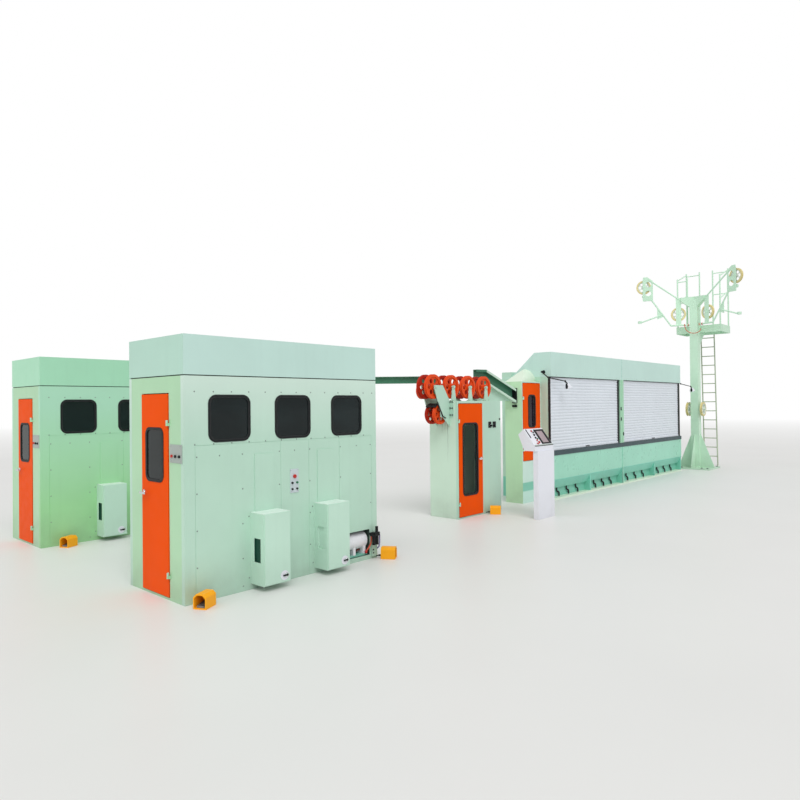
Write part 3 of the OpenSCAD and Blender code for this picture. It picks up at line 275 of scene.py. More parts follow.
# Painted shade and painted light: the channels' inner web is dark green as if in shade, their lips and
# flanges pale as if lit.
TROUGH_WEB_SHADE = paint("trough_web_painted_shade", "3f7a5e", rough=0.35, vary=0.10, floor_dark=0.0)
TROUGH_EDGE_LIT = paint("trough_edge_painted_light", "c3dccb", rough=0.4, vary=0.05, floor_dark=0.0)
SILL_PAINT = paint("dark_sill_enamel", "2b444b", rough=0.38, vary=0.10, floor_dark=0.0)
SLAT = paint("shutter_enamel", "dee4ec", rough=0.34, vary=0.03, floor_dark=0.0, streak=0.03)
WHITE = paint("white_enamel", "e8eaf2", rough=0.34, vary=0.03, floor_dark=0.15)
TANK = paint("tank_enamel", "ebebf0", rough=0.28, vary=0.03, floor_dark=0.0)
GREY_PLATE = paint("grey_plate_enamel", "a9b3ad", rough=0.45, vary=0.08, floor_dark=0.0)
BEIGE_PLATE = paint("button_plate_enamel", "c9d4d8", rough=0.40, vary=0.04, floor_dark=0.0)
SWITCH_ORANGE = paint("foot_switch_enamel", "ffae18", rough=0.42, vary=0.06, floor_dark=0.05,
                      worn="b8741a", spec=0.2)
BLACK = rubber("black_rubber")
BLACK_PLASTIC = rubber("black_moulding", "16181a", 0.45, 0.25)
DARK_GAP = rubber("dark_seam", "31413a", 0.75)
DARK_GREEN = paint("recess_enamel", "1f4a3c", vary=0.15, floor_dark=0.0, spec=0.2)
RED_BUTTON = rubber("red_button_moulding", "c32018", 0.35)
GREEN_BUTTON = rubber("green_button_moulding", "1f6e48", 0.35)
RED_HOSE = rubber("red_hose_rubber", "c8553c", 0.5)
DARK_HOSE = rubber("dark_hose_rubber", "7c2f24", 0.55)
PALE_TUBE = rubber("pale_tube_plastic", "8b88ad", 0.4)
TREADLE = rubber("treadle_tread", "6e6f70", 0.55)
CHROME = metal("chromed_lever", "dde0e2", 0.14)
BOLT = metal("zinc_bolt", "8f9894", 0.38)
PANE_DARK = glass("dark_pane", "141f20", 0.90)
PANE_CLEAR = glass("clear_pane", "2a3a38", 0.16)
PANE_PLUM = glass("plum_pane", "241c28", 0.92)


def screen_material():
    """A panel screen's dull mauve glass."""
    mat, tree, shader = new_material("panel_screen")
    wash = remap(tree, noise(tree, 3.0, 2.0), 0.3, 0.7, 0.85, 1.15)
    tint(tree, shader, "a08c92", wash)
    shader.inputs["Roughness"].default_value = 0.12
    shader.inputs["Coat Weight"].default_value = 0.5
    return mat


SCREEN = screen_material()


# Geometry
class Bag:
    """Collects simple solids with materials into one piece."""

    def __init__(self, name, body="line", slot="mint_paint"):
        self.name = name
        self.body = body
        self.slot = slot
        self.bm = bmesh.new()
        self.materials = []

    def _index(self, mat):
        if mat not in self.materials:
            self.materials.append(mat)
        return self.materials.index(mat)

    def _mark(self, faces, mat, smooth=False):
        index = self._index(mat)
        for face in faces:
            face.material_index = index
            face.smooth = smooth

    def _skin(self, low, high):
        """The faces between two rings of points."""
        count = len(low)
        return [self.bm.faces.new((low[k], low[(k + 1) % count], high[(k + 1) % count], high[k]))
                for k in range(count)]

    def _ring(self, p, side, over, r, seg):
        """A circle of points round p, in the plane of side and over."""
        turns = [2 * math.pi * k / seg for k in range(seg)]
        return [self.bm.verts.new(p + side * r * math.cos(t) + over * r * math.sin(t)) for t in turns]

    def _caps(self, rings):
        """The two end faces of a row of rings."""
        return [self.bm.faces.new(list(reversed(rings[0]))), self.bm.faces.new(rings[-1])]

    def faces_of(self, geom):
        """The faces round some points."""
        return {face for vert in geom for face in vert.link_faces}

    def box(self, lo, hi, mat, matrix=None):
        """A block between two corners, moved by a matrix."""
        lo, hi = Vector(lo), Vector(hi)
        made = bmesh.ops.create_cube(self.bm, size=1.0)["verts"]
        for vert in made:
            vert.co = Vector([lo[i] + (vert.co[i] + 0.5) * (hi[i] - lo[i]) for i in range(3)])
            if matrix:
                vert.co = matrix @ vert.co
        self._mark(self.faces_of(made), mat)
        return made

    def rod(self, p, q, r, mat, seg=12, r2=None, smooth=True):
        """A round bar or cone from p to q."""
        p, q = Vector(p), Vector(q)
        axis = q - p
        made = bmesh.ops.create_cone(self.bm, cap_ends=True, segments=seg, radius1=r,
                                     radius2=r if r2 is None else r2, depth=axis.length)["verts"]
        turn = axis.to_track_quat("Z", "Y").to_matrix().to_4x4()
        move = Matrix.Translation((p + q) / 2) @ turn
        for vert in made:
            vert.co = move @ vert.co
        for face in self.faces_of(made):
            face.material_index = self._index(mat)
            face.smooth = smooth and len(face.verts) == 4
        return made

    def dome(self, p, n, r, mat, height=0.5, seg=8):
        """A round screw head on a face at p with normal n."""
        p, n = Vector(p), Vector(n).normalized()
        turn = n.to_track_quat("Z", "Y").to_matrix().to_4x4()
        rings = ((r, 0.0), (r * 0.86, r * height * 0.6), (r * 0.5, r * height))
        verts = []
        for radius, up in rings:
            ring = []
            for k in range(seg):
                a = 2 * math.pi * k / seg
                spot = Vector((radius * math.cos(a), radius * math.sin(a), up))
                ring.append(self.bm.verts.new(p + turn @ spot))
            verts.append(ring)
        faces = []
        for low, high in zip(verts, verts[1:]):
            faces += self._skin(low, high)
        faces.append(self.bm.faces.new(verts[-1]))
        faces.append(self.bm.faces.new(list(reversed(verts[0]))))
        self._mark(faces, mat, True)

    def tube(self, points, r, mat, seg=10):
        """A round tube through points, with its ends closed."""
        points = [Vector(p) for p in points]
        rings = []
        up = Vector((0, 0, 1))
        for i, p in enumerate(points):
            ahead = points[min(i + 1, len(points) - 1)] - points[max(i - 1, 0)]
            side = ahead.cross(up)
            if side.length < 1e-6:
                side = Vector((1, 0, 0))
            side.normalize()
            over = side.cross(ahead).normalized()
            up = over
            rings.append(self._ring(p, side, over, r, seg))
        faces = []
        for low, high in zip(rings, rings[1:]):
            faces += self._skin(low, high)
        self._mark(faces, mat, True)
        self._mark(self._caps(rings), mat)

    def loop(self, points, r, mat, seg=8):
        """A round bead along a closed loop of points."""
        count = len(points)
        rings = []
        for i, p in enumerate(points):
            ahead = (points[(i + 1) % count] - points[i - 1]).normalized()
            out = Vector((0, 1, 0))
            side = ahead.cross(out).normalized()
            rings.append(self._ring(p, side, out, r, seg))
        faces = []
        for i in range(count):
            faces += self._skin(rings[i], rings[(i + 1) % count])
        self._mark(faces, mat, True)

    def band(self, centre, inner, outer, half, start, end, mat, steps=24):
        """A strap bent about the Y axis through centre, from one angle to another."""
        rings = []
        for i in range(steps + 1):
            a = math.radians(start + (end - start) * i / steps)
            way = Vector((math.cos(a), 0, math.sin(a)))
            corners = ((inner, -half), (outer, -half), (outer, half), (inner, half))
            rings.append([self.bm.verts.new(centre + way * r + Vector((0, y, 0))) for r, y in corners])
        faces = self._caps(rings)
        for low, high in zip(rings, rings[1:]):
            faces += self._skin(low, high)
        self._mark(faces, mat)

    def done(self, bevel=0.0, segments=2):
        """Makes the object and puts it on its body."""
        bmesh.ops.recalc_face_normals(self.bm, faces=self.bm.faces)
        mesh = bpy.data.meshes.new(self.name)
        self.bm.to_mesh(mesh)
        self.bm.free()
        for mat in self.materials:
            mesh.materials.append(mat)
        obj = bpy.data.objects.new(self.name, mesh)
        scene.collection.objects.link(obj)
        if bevel:
            soften(obj, bevel, segments)
        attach(obj, self.body)
        return obj


def soften(obj, width, segments=2, angle=35.0):
    """Rounds the edges with a bevel modifier."""
    mod = obj.modifiers.new("edge", "BEVEL")
    mod.width = width
    mod.segments = segments
    mod.limit_method = "ANGLE"
    mod.angle_limit = math.radians(angle)
    mod.harden_normals = False


def middle(obj):
    """The middle of a node's box."""
    corners = [Vector(c) for c in obj.bound_box]
    return sum(corners, Vector()) / len(corners)


def dress(name, mats, rule=None, bevel=0.0, segments=2, smooth=None):
    """Gives a CAD node its materials: rule(centre, normal) picks the index for each face."""
    obj = nodes[name]
    mesh = obj.data
    mesh.materials.clear()
    for mat in mats:
        mesh.materials.append(mat)
    for poly in mesh.polygons:
        poly.material_index = rule(poly.center, poly.normal) if rule else 0
    if bevel:
        soften(obj, bevel, segments)
    if smooth:
        mesh.shade_smooth()
        mod = obj.modifiers.new("split", "EDGE_SPLIT")
        mod.split_angle = math.radians(smooth)
        mod.use_edge_sharp = False
    return obj


def rounded(x, z, w, h, r, y, steps=6):
    """Points round a rounded rectangle in a wall that faces -Y, in the CAD frame."""
    points = []
    left, right, low, high = x + r, x + w - r, z + r, z + h - r
    for cx, cz, start in ((right, low, -90), (right, high, 0), (left, high, 90), (left, low, 180)):
        for i in range(steps + 1):
            a = math.radians(start + 90 * i / steps)
            points.append(at_line(cx + r * math.cos(a), y, cz + r * math.sin(a)))
    return points


# Bevel widths, and the angles above which a smooth node keeps its edges
EDGE = 0.004
FINE_EDGE = 0.002
DOOR_EDGE = 0.0025
BOX_EDGE = 0.003
LIP_EDGE = 0.001
SMOOTH = 35
TUBE_SMOOTH = 40
# How far past a face a test lies, and how thick a button plate is with the same margin
JUST = 0.0005
PLATE_BACK = 0.0065
# How far a pane's faces lie from its middle, at most, outwards and inwards
PANE_HALF = 0.0045
PANE_BACK = 0.0025
# A trough's faces that tilt more than this are its lips and flanges
LIP_TILT = 0.3
# The row of sheaves over the guide stand
ROW_Y = 1.005


def inside(value, span):
    """Whether a value lies between the two ends of a span."""
    return span[0] < value < span[1]


def behind(y):
    """A rule that picks 1 for the faces behind a y of the line."""
    return lambda c, n: 1 if c.y > at_line(0, y).y else 0


def front_door_rule(lever_x, face_y):
    """A rule that picks 1 for the lever and 2 for the hinges, which stand out before a door's face."""
    def rule(c, n):
        if c.y >= at_line(0, face_y).y:
            return 0
        return 1 if c.x > at_line(lever_x, 0).x else 2
    return rule


def front_pane_rule(pane_y):
    """A rule that picks 1 for a pane's glass inside its rubber seal."""
    return lambda c, n: 1 if abs(n.y) > 0.5 and abs(c.y - at_line(0, pane_y).y) < PANE_HALF else 0


def trough_lip_rule(c, n):
    """Lips and flanges pale as painted light, on a web darkened as painted shade."""
    return 1 if abs(n.z) > LIP_TILT else 0


# Cabins
BOXES = (0.689, 1.472)
WINDOW_PANE_Y = 0.007
HOOD_SEAM = 2.041
END_PLATE_Z = (1.245, 1.42)
END_PLATE_Y = 0.245
END_LAMP_Y = 0.17
LEVER_Y = 0.45
DOOR_FACE = 0.0085
NICHE_BOX = ((1.958, 2.282), (0.001, 0.27), (0.048, 0.342))
RECESS_Y = (-0.156, -0.054)
RECESS_Z = (0.271, 0.498)
RECESS_DEPTH = 0.015
STRIP_LOW = 0.745
PLATE_X = (1.155, 1.270)
PLATE_Z = (0.86, 1.115)
PLATE_LAMP_Z = 1.0
GREEN_FROM = (1.21, 0.94)


def wall_plate_rule(c, corner):
    """The end wall's button plate and its three buttons."""
    if not (inside(c.z, END_PLATE_Z) and c.x < corner.x - JUST and c.y < corner.y + END_PLATE_Y):
        return 0
    if c.x > corner.x - PLATE_BACK:
        return 1
    return 3 if c.y > corner.y + END_LAMP_Y else 2


def niche_rule(c, corner):
    """The low niche's inside, painted dark green-grey as its shade."""
    return 1 if all(inside(v, span) for v, span in zip(c - corner, NICHE_BOX)) else 0


def hood_rule(c, n):
    """Dark seam below the hood, and the hood's end, which faces -X, in a darker mint as painted shade."""
    if c.z < HOOD_SEAM - JUST:
        return 1
    return 2 if n.x < -0.5 else 0


def cabin_door_rule(c, corner):
    """Chrome lever and mint hinges, which stand out before the door's face."""
    if c.x >= corner.x - DOOR_FACE:
        return 0
    return 1 if c.y > corner.y + LEVER_Y else 2


def cabin_pane_rule(c, n, corner):
    """The door's glass inside its rubber seal."""
    return 1 if abs(n.x) > 0.2 and corner.x - PANE_HALF < c.x < corner.x + PANE_BACK else 0


for side, y0, wall, hood, end in (("near", 0.0, MINT_CABIN, MINT_HOOD, MINT_HOOD_END_SHADE),
                                  ("far", CABIN_PITCH, MINT_FAR, MINT_FAR_HOOD, MINT_FAR_HOOD)):
    corner = at_line(0, y0)
    dress(f"{side}_cabin_front_wall", [wall, NICHE_SHADE], lambda c, n, k=corner: niche_rule(c, k), bevel=EDGE)
    dress(f"{side}_cabin_rear_walls", [wall], bevel=EDGE)
    dress(f"{side}_cabin_hood", [hood, DARK_GAP, end], hood_rule, bevel=EDGE)
    dress(f"{side}_cabin_door_wall", [MINT_END, GREY_PLATE, BLACK_PLASTIC, RED_BUTTON],
          lambda c, n, k=corner: wall_plate_rule(c, k), bevel=FINE_EDGE)
    dress(f"{side}_cabin_door", [ORANGE, CHROME, MINT],
          lambda c, n, k=corner: cabin_door_rule(c, k), bevel=DOOR_EDGE)
    dress(f"{side}_cabin_door_glass", [BLACK, PANE_DARK],
          lambda c, n, k=corner: cabin_pane_rule(c, n, k), bevel=FINE_EDGE)


def window_rule(c, n):
    """The windows' glass inside their rubber seals."""
    off = min(abs(c.y - at_line(0, y).y - WINDOW_PANE_Y) for y in CABIN_FRONTS)
    return 1 if abs(n.y) > 0.5 and off < 0.004 else 0


dress("cabin_windows", [BLACK, PANE_DARK], window_rule, bevel=FINE_EDGE)


def on_cabin(c):
    """A point measured from the front corner of the cabin that it is nearest to."""
    spots = [c - at_line(0, base) for base in CABIN_FRONTS]
    return min(spots, key=lambda p: abs(p.y))


def box_rule(c, n):
    """Dark recess in the first box's side, wall colour above the boxes, and the button plate.

    The plate has a red lamp at its top, and a green and three black buttons below it.
    """
    p = on_cabin(c)
    off = [p.x - x for x in BOXES]
    in_recess = min(abs(v - RECESS_DEPTH / 2) for v in off) < RECESS_DEPTH / 2 + 0.0003
    if inside(p.y, RECESS_Y) and inside(p.z, RECESS_Z) and in_recess:
        return 5 if p.x < 1.0 and min(abs(v) for v in off) > 0.0003 else 0
    if p.z > STRIP_LOW and not inside(p.x, PLATE_X):
        return 6 if c.y < at_line(0, CABIN_PITCH / 2).y else 7
    if not (inside(p.x, PLATE_X) and inside(p.z, PLATE_Z) and p.y > -0.02):
        return 0
    if p.y > -PLATE_BACK:
        return 1
    if p.z > PLATE_LAMP_Z:
        return 2
    return 4 if p.x > GREEN_FROM[0] and p.z > GREEN_FROM[1] else 3


dress("cabin_service_boxes",
      [MINT_BOX, BEIGE_PLATE, RED_BUTTON, BLACK_PLASTIC, GREEN_BUTTON, DARK_GREEN, MINT_CABIN, MINT_FAR],
      box_rule, bevel=BOX_EDGE)


TERMINAL_TOP = 0.163
TERMINAL_LEFT = 2.294
TERMINAL_FRONT = -0.031
SHELF_TOP = 0.070


def air_rule(c, n):
    """Tank and legs white, its shelf mint, the filter black over its mint terminal box."""
    p = on_cabin(c)
    if p.y < JUST:
        return 2 if p.z < TERMINAL_TOP and p.x > TERMINAL_LEFT and p.y > TERMINAL_FRONT else 3
    return 0 if p.z < SHELF_TOP + JUST else 1


dress("cabin_air_units", [MINT_TOE, TANK, MINT, BLACK_PLASTIC], air_rule, smooth=TUBE_SMOOTH)

# Guide stand
dress("guide_stand_shell", [MINT_STAND], bevel=EDGE)
KNOBS_FROM = at_line(5.7, 0.729, 1.35)
STAND_DOOR = {"lever_x": 5.2, "face_y": 0.7215}
STAND_PANE_Y = 0.729


def stand_front_rule(c, n):
    """The selector switches' black knobs, which stand out before the stand's front."""
    return 1 if c.z > KNOBS_FROM.z and c.x > KNOBS_FROM.x and c.y < KNOBS_FROM.y else 0


dress("guide_stand_front", [MINT, BLACK_PLASTIC], stand_front_rule, bevel=FINE_EDGE)
dress("guide_stand_door", [ORANGE, CHROME, MINT], front_door_rule(**STAND_DOOR), bevel=DOOR_EDGE)
dress("guide_stand_door_glass", [BLACK, PANE_CLEAR], front_pane_rule(STAND_PANE_Y), bevel=FINE_EDGE)
dress("guide_brackets", [MINT], smooth=SMOOTH)
dress("guide_end_bracket", [MINT], smooth=SMOOTH)
for name in [f"guide_sheaves_{i}" for i in range(1, 5)] + ["guide_end_sheaves"]:
    dress(name, [SHEAVE_ORANGE, SHEAVE_RED], behind(ROW_Y), smooth=SMOOTH)
for name in ("guide_side_sheave", "guide_inner_wheel"):
    dress(name, [SHEAVE_ORANGE], smooth=SMOOTH)

# Troughs
TROUGH_FROM = at_line(6.022, 1.244)
TROUGH_WAY = Vector((0.828, -0.259, 0.0)).normalized()
TROUGH_LOW = 2.095
TROUGH_FLAT = 0.220
TROUGH_FALL = 0.330 / 0.6476
TROUGH_HALF = 0.0835


def inlet_rule(c, n):
    """Mint post and gusset below the channel, and lips and flanges pale as painted light on its web, darkened
    as painted shade.
    """
    p = c - TROUGH_FROM
    along = p.dot(TROUGH_WAY)
    across = TROUGH_WAY.y * p.x - TROUGH_WAY.x * p.y
    if c.z < TROUGH_LOW - max(0.0, along - TROUGH_FLAT) * TROUGH_FALL - 0.001:
        return 2
    return 1 if abs(n.z) > LIP_TILT or (across > TROUGH_HALF and along > 0.2) else 0


dress("inlet_trough", [TROUGH_WEB_SHADE, TROUGH_EDGE_LIT, MINT], inlet_rule, bevel=LIP_EDGE)
dress("outlet_trough", [TROUGH_WEB_SHADE, TROUGH_EDGE_LIT], trough_lip_rule, bevel=LIP_EDGE)

# Drawing housing
FLOOR_STRIP = 0.031
POST_FRONT = 0.6145
SILL_EDGE = 0.005
dress("housing_base", [MINT_TOE, MINT_PALE], lambda c, n: 1 if c.z < FLOOR_STRIP else 0, bevel=BOX_EDGE)
dress("housing_lower_panels", [MINT_PANEL], bevel=EDGE)
dress("housing_core", [MINT], bevel=EDGE)
# Faces behind the posts' front are black: the dark guide rails, and painted shade of their recess.
dress("housing_posts", [MINT_POST, BLACK], behind(POST_FRONT), bevel=FINE_EDGE)
dress("housing_sill", [SILL_PAINT], bevel=SILL_EDGE)
dress("housing_shutters", [SLAT], bevel=FINE_EDGE)
dress("housing_hood", [MINT_HOOD], bevel=EDGE)
dress("housing_rear_enclosure", [MINT], bevel=EDGE)
dress("drain_hoses", [BLACK], smooth=TUBE_SMOOTH)

LAMP_WRISTS = [at_line(x, 0.450, 2.150) for x in (7.750, 14.400)]
LAMP_AXIS = Vector((0.5, 0.0, -0.866))
SHADE_FROM = Vector((0.070, 0.0, -0.040))
LAMP_NECK_R = 0.024


def lamp_rule(c, n):
    """Each lamp's white shade beyond the last joint of its arm."""
    p = min((c - wrist for wrist in LAMP_WRISTS), key=lambda v: v.length)
    along = (p - SHADE_FROM).dot(LAMP_AXIS)
    off = (p - LAMP_AXIS * p.dot(LAMP_AXIS)).length
    return 1 if along > -0.001 and off > LAMP_NECK_R else 0


for name in ("work_lamp", "far_work_lamp"):
    dress(name, [BLACK_PLASTIC, WHITE], lamp_rule, smooth=TUBE_SMOOTH)

OUTLET_CORNER = at_line(6.850, 0.805)
ROLLER_Y = (0.09, 0.19)
OUTLET_DOOR = {"lever_x": 7.2, "face_y": 0.7965}
OUTLET_PANE_Y = 0.804


def outlet_rule(c, n):
    """Black roller frame on the cabinet's side, and its front, whose foot has a band of painted shade."""
    p = c - OUTLET_CORNER
    if p.x < -JUST and inside(p.y, ROLLER_Y):
        return 1
    return 2 if n.y < -0.5 and p.y < 0.010 else 0


dress("outlet_cabinet", [MINT_OUTLET, BLACK_PLASTIC, MINT_FOOT], outlet_rule, bevel=BOX_EDGE)
dress("outlet_cover", [MINT_PALE], bevel=EDGE)
dress("outlet_door", [ORANGE, CHROME, MINT], front_door_rule(**OUTLET_DOOR), bevel=DOOR_EDGE)
dress("outlet_door_glass", [BLACK, PANE_PLUM], front_pane_rule(OUTLET_PANE_Y), bevel=FINE_EDGE)

# Tower
for part in ("column", "arms", "platform", "railing"):
    dress(f"tower_{part}", [MINT_TOWER], smooth=SMOOTH)
dress("tower_ladder", [LADDER], smooth=SMOOTH)
WEB_R = 0.150


def disc_rule(c, centre):
    """Pale web inside the cream rim."""
    return 1 if (c - centre).length < WEB_R else 0


for place in ("", "inner_", "entry_"):
    for hand in ("left", "right"):
        name = f"tower_{hand}_{place}sheave"
        dress(name, [CREAM, PALE_DISC], lambda c, n, k=middle(nodes[name]): disc_rule(c, k), smooth=SMOOTH)

# Console and foot switches
dress("console_pedestal", [WHITE], bevel=EDGE)
dress("console_desk", [WHITE], bevel=EDGE)

# Place and turn of each foot switch
SWITCHES = ((0.110, -0.140, 28), (2.450, -0.140, 123), (0.280, 3.390, 28), (5.683, 0.590, 123))


def switch_matrix(x, y, turn):
    """From a foot switch's own axes to the CAD frame."""
    return Matrix.Translation(at_line(x, y)) @ Matrix.Rotation(math.radians(turn), 4, "Z")


TREADLE_HALF_X = 0.0655
TREADLE_HALF_Y = 0.0385
TREADLE_Z = (0.0092, 0.046)


def treadle_rule(c, n):
    """The treadle inside each hood."""
    for spot in SWITCHES:
        p = switch_matrix(*spot).inverted() @ c
        if abs(p.x) < TREADLE_HALF_X and abs(p.y) < TREADLE_HALF_Y and inside(p.z, TREADLE_Z):
            return 1
    return 0


dress("foot_switches", [SWITCH_ORANGE, TREADLE], treadle_rule, bevel=EDGE, segments=3)

# Cabin fittings
# How far a screw's seat stands off its sheet, and off the button plates' fronts
SEAT = 0.0002
PLATE_SEAT = 0.0058
SCREW_R = 0.007
PLATE_SCREW_R = 0.004
END_PLATE_SCREWS = [(y, z) for y in (0.052, 0.215) for z in (1.265, 1.400)]
PLATE_SCREWS = [(x, z) for z in (0.884, 1.096) for x in (1.168, 1.257)]
SCREW_PITCH = 0.1904
SCREW_LINE = [0.105 + SCREW_PITCH * i for i in range(12)]
ROWS = ((1.888, SCREW_LINE + [2.337]),
        (1.412, SCREW_LINE),
        (1.300, (0.124, 0.355, 0.600, 1.030, 1.220, 1.418, 1.845, 2.087, 2.305)))
COLUMNS = ((0.124, (0.97, 0.64, 0.31)), (0.600, (0.97, 0.64, 0.31, 0.05)), (1.030, (0.97, 0.64, 0.31)),
           (1.418, (0.97, 0.64, 0.31)), (1.845, (0.97, 0.64, 0.31)), (2.305, (0.97, 0.64)),
           (0.668, (0.700, 0.115)), (1.451, (0.700, 0.115)))
BOX_FACE = -0.215
LATCH_X = 0.260
LATCH_Z = 0.127
LATCH_SHIFT = -0.030
DISH_R, RING_R, CORE_R = 0.046, 0.024, 0.012
TAB = (Vector((-0.052, -0.0165, -0.007)), Vector((0.006, -0.009, 0.007)))
HOSE_R = 0.009
SEAL_Y = -0.0052
SEAL_R = 0.0028
WINDOW = {"z": 1.437, "w": 0.425, "h": 0.410, "r": 0.070}
WINDOW_X = [0.254 + 0.738 * i for i in range(3)]


def cabin_screws(side, y0):
    """Screws of the front's panels, and of the end wall's and the front's button plates."""
    bag = Bag(f"{side}_cabin_screws")
    spots = [(x, z) for z, row in ROWS for x in row]
    spots += [(x, z) for x, column in COLUMNS for z in column]
    for x, z in spots:
        bag.dome(at_line(x, y0 + SEAT, z), (0, -1, 0), SCREW_R, BOLT)
    for y, z in END_PLATE_SCREWS:
        bag.dome(at_line(-PLATE_SEAT, y0 + y, z), (-1, 0, 0), PLATE_SCREW_R, BOLT)
    for x, z in PLATE_SCREWS:
        bag.dome(at_line(x, y0 - PLATE_SEAT, z), (0, -1, 0), PLATE_SCREW_R, BOLT)
    bag.done()


def cabin_latches(side, y0):
    """Turn latches on the service boxes: white dish, chrome ring, black core and finger tab."""
    bag = Bag(f"{side}_cabin_latches")
    for x in BOXES:
        spot = at_line(x + LATCH_X, y0 + BOX_FACE, LATCH_Z)
        dish = spot + Vector((LATCH_SHIFT, 0, 0))
        bag.rod(dish, dish + Vector((0, -0.003, 0)), DISH_R, WHITE, 40)
        bag.rod(spot, spot + Vector((0, -0.0055, 0)), RING_R, CHROME, 28)
        core = spot + Vector((0, -0.0075, 0))
        bag.rod(core, spot + Vector((0, -0.0095, 0)), CORE_R, BLACK_PLASTIC, 20)
        bag.box(spot + TAB[0], spot + TAB[1], BLACK_PLASTIC)
    bag.done()


# Paths of the red hose and the pale tube, from a cabin's front corner
HOSE_PATH = ((2.296, -0.016, 0.268), (2.297, -0.014, 0.240), (2.296, -0.013, 0.213), (2.290, -0.011, 0.176),
             (2.269, -0.007, 0.140), (2.251, 0.004, 0.114), (2.237, 0.012, 0.096))
TUBE_PATH = ((2.360, -0.062, 0.285), (2.376, -0.062, 0.280), (2.381, -0.062, 0.262), (2.381, -0.061, 0.180),
             (2.381, -0.052, 0.135), (2.379, -0.034, 0.115), (2.370, -0.018, 0.108))


def cabin_hoses(side, y0):
    """The red hose at the tank's end with its fittings, the filter's tube, and the hose in the niche."""
    bag = Bag(f"{side}_cabin_hoses", slot="rubber")
    bag.tube([at_line(x, y0 + y, z) for x, y, z in HOSE_PATH], HOSE_R, RED_HOSE)
    bag.rod(at_line(2.296, y0 - 0.041, 0.270), at_line(2.296, y0 - 0.003, 0.270), 0.014, BLACK_PLASTIC, 14)
    bag.rod(at_line(2.236, y0 + 0.012, 0.104), at_line(2.236, y0 + 0.012, 0.0702), 0.013, RED_BUTTON, 12)
    bag.tube([at_line(x, y0 + y, z) for x, y, z in TUBE_PATH], HOSE_R, PALE_TUBE)
    low = [at_line(2.087 + 0.0205 * i, y0 + 0.090, 0.104 + 0.008 * math.cos(i * 1.3)) for i in range(7)]
    bag.tube(low, HOSE_R, DARK_HOSE)
    for z in (0.104, 0.068):
        spot = at_line(2.312, y0 - 0.030, z)
        bag.rod(spot, spot + Vector((0, -0.004, 0)), 0.009, BLACK, 14)
    bag.done()


def window_trim(side, y0):
    """Raised bead of the rubber seals in the front windows."""
    bag = Bag(f"{side}_cabin_window_trim", slot="rubber")
    for x in WINDOW_X:
        bag.loop(rounded(x, y=y0 + SEAL_Y, **WINDOW), SEAL_R, BLACK_PLASTIC)
    bag.done()


for side, y0 in (("near", 0.0), ("far", CABIN_PITCH)):
    cabin_screws(side, y0)
    cabin_latches(side, y0)
    cabin_hoses(side, y0)
    window_trim(side, y0)

# Guide stand fittings
STAND_X, STAND_Y = 4.900, 0.730
FLANGE_T = 0.012
FOOT_DX, FOOT_DY = 0.046, 0.021
UPRIGHT_Y = (ROW_Y - 0.125, ROW_Y + 0.125)
FOOT_BOLT = (0.007, 0.007)
KNOB_X, KNOB_PITCH, KNOB_Z = 0.860, 0.090, 1.400
KNOB_PLATES = ((-0.050, 0.032), (-0.020, 0.072))
END_BOLT_Y = (-0.185, -0.147, 0.147, 0.185)
END_BOLT_Z = (1.786, 1.690, 1.587)
UPRIGHT_X = [STAND_X - 0.335 + 0.435 * i for i in (1, 2, 3)]
STAND_TOP = 1.810
# The guard's strap: centre, radii, half width, and the angles that it spans
GUARD_AT = (4.715, ROW_Y, 1.600)
GUARD_STRAP = (0.160, 0.167, 0.100, 84.0, 138.0)
# A black tube along the near end plate's edge: painted shadow of the gap between the sheaves and the plate.
GUARD_SHADOW_LINE = ((4.585, 1.790), (4.640, 1.690), (4.710, 1.572), (4.778, 1.543))
GUARD_SHADOW_Y = 0.862


def hex_bolt(bag, p, n, r=0.011, h=0.008):
    """A hexagon bolt's head on its washer."""
    n = Vector(n).normalized()
    p = Vector(p)
    washer = n * 0.0025
    bag.rod(p - n * 0.0003, p + washer, r * 1.5, BOLT, 16)
    bag.rod(p + washer, p + n * h, r, BOLT, 6, smooth=False)


def stand_bolts():
    """Bolts of the end plates' flanges and of the uprights' feet."""
    bag = Bag("guide_stand_bolts")
    for y in END_BOLT_Y:
        for z in END_BOLT_Z:
            hex_bolt(bag, at_line(STAND_X - FLANGE_T, ROW_Y + y, z), (-1, 0, 0))
    for x in UPRIGHT_X:
        for y in UPRIGHT_Y:
            for dx in (-FOOT_DX, FOOT_DX):
                for dy in (-FOOT_DY, FOOT_DY):
                    hex_bolt(bag, at_line(x + dx, y + dy, STAND_TOP), (0, 0, 1), *FOOT_BOLT)
    bag.done()


def stand_knobs():
    """Black plates, rings and pointers of the two selector switches, and a small lamp beside them."""
    bag = Bag("guide_stand_switches", slot="dark_paint")
    for i, (left, right) in enumerate(KNOB_PLATES):
        spot = at_line(STAND_X + KNOB_X + KNOB_PITCH * i, STAND_Y, KNOB_Z)
        bag.box(spot + Vector((left, -0.005, -0.034)), spot + Vector((right, 0.0, 0.064)), BLACK_PLASTIC)
        bag.rod(spot + Vector((0, -0.005, 0)), spot + Vector((0, -0.008, 0)), 0.018, CHROME, 24)
        bag.box(spot + Vector((-0.005, -0.042, -0.015)), spot + Vector((0.005, -0.030, 0.015)), BLACK_PLASTIC)
    lamp = at_line(6.028, STAND_Y, 1.500)
    bag.rod(lamp, lamp + Vector((0, -0.012, 0)), 0.014, BLACK, 16)
    bag.done(0.001)


def sheave_guard():
    """Black strap bent over the end sheaves, and a black tube along the near end plate as the painted shadow
    of the gap between sheave and plate.
    """
    bag = Bag("end_sheave_guard", slot="dark_paint")
    bag.band(at_line(*GUARD_AT), *GUARD_STRAP, BLACK)
    bag.tube([at_line(x, GUARD_SHADOW_Y, z) for x, z in GUARD_SHADOW_LINE], HOSE_R, BLACK)
    bag.done()


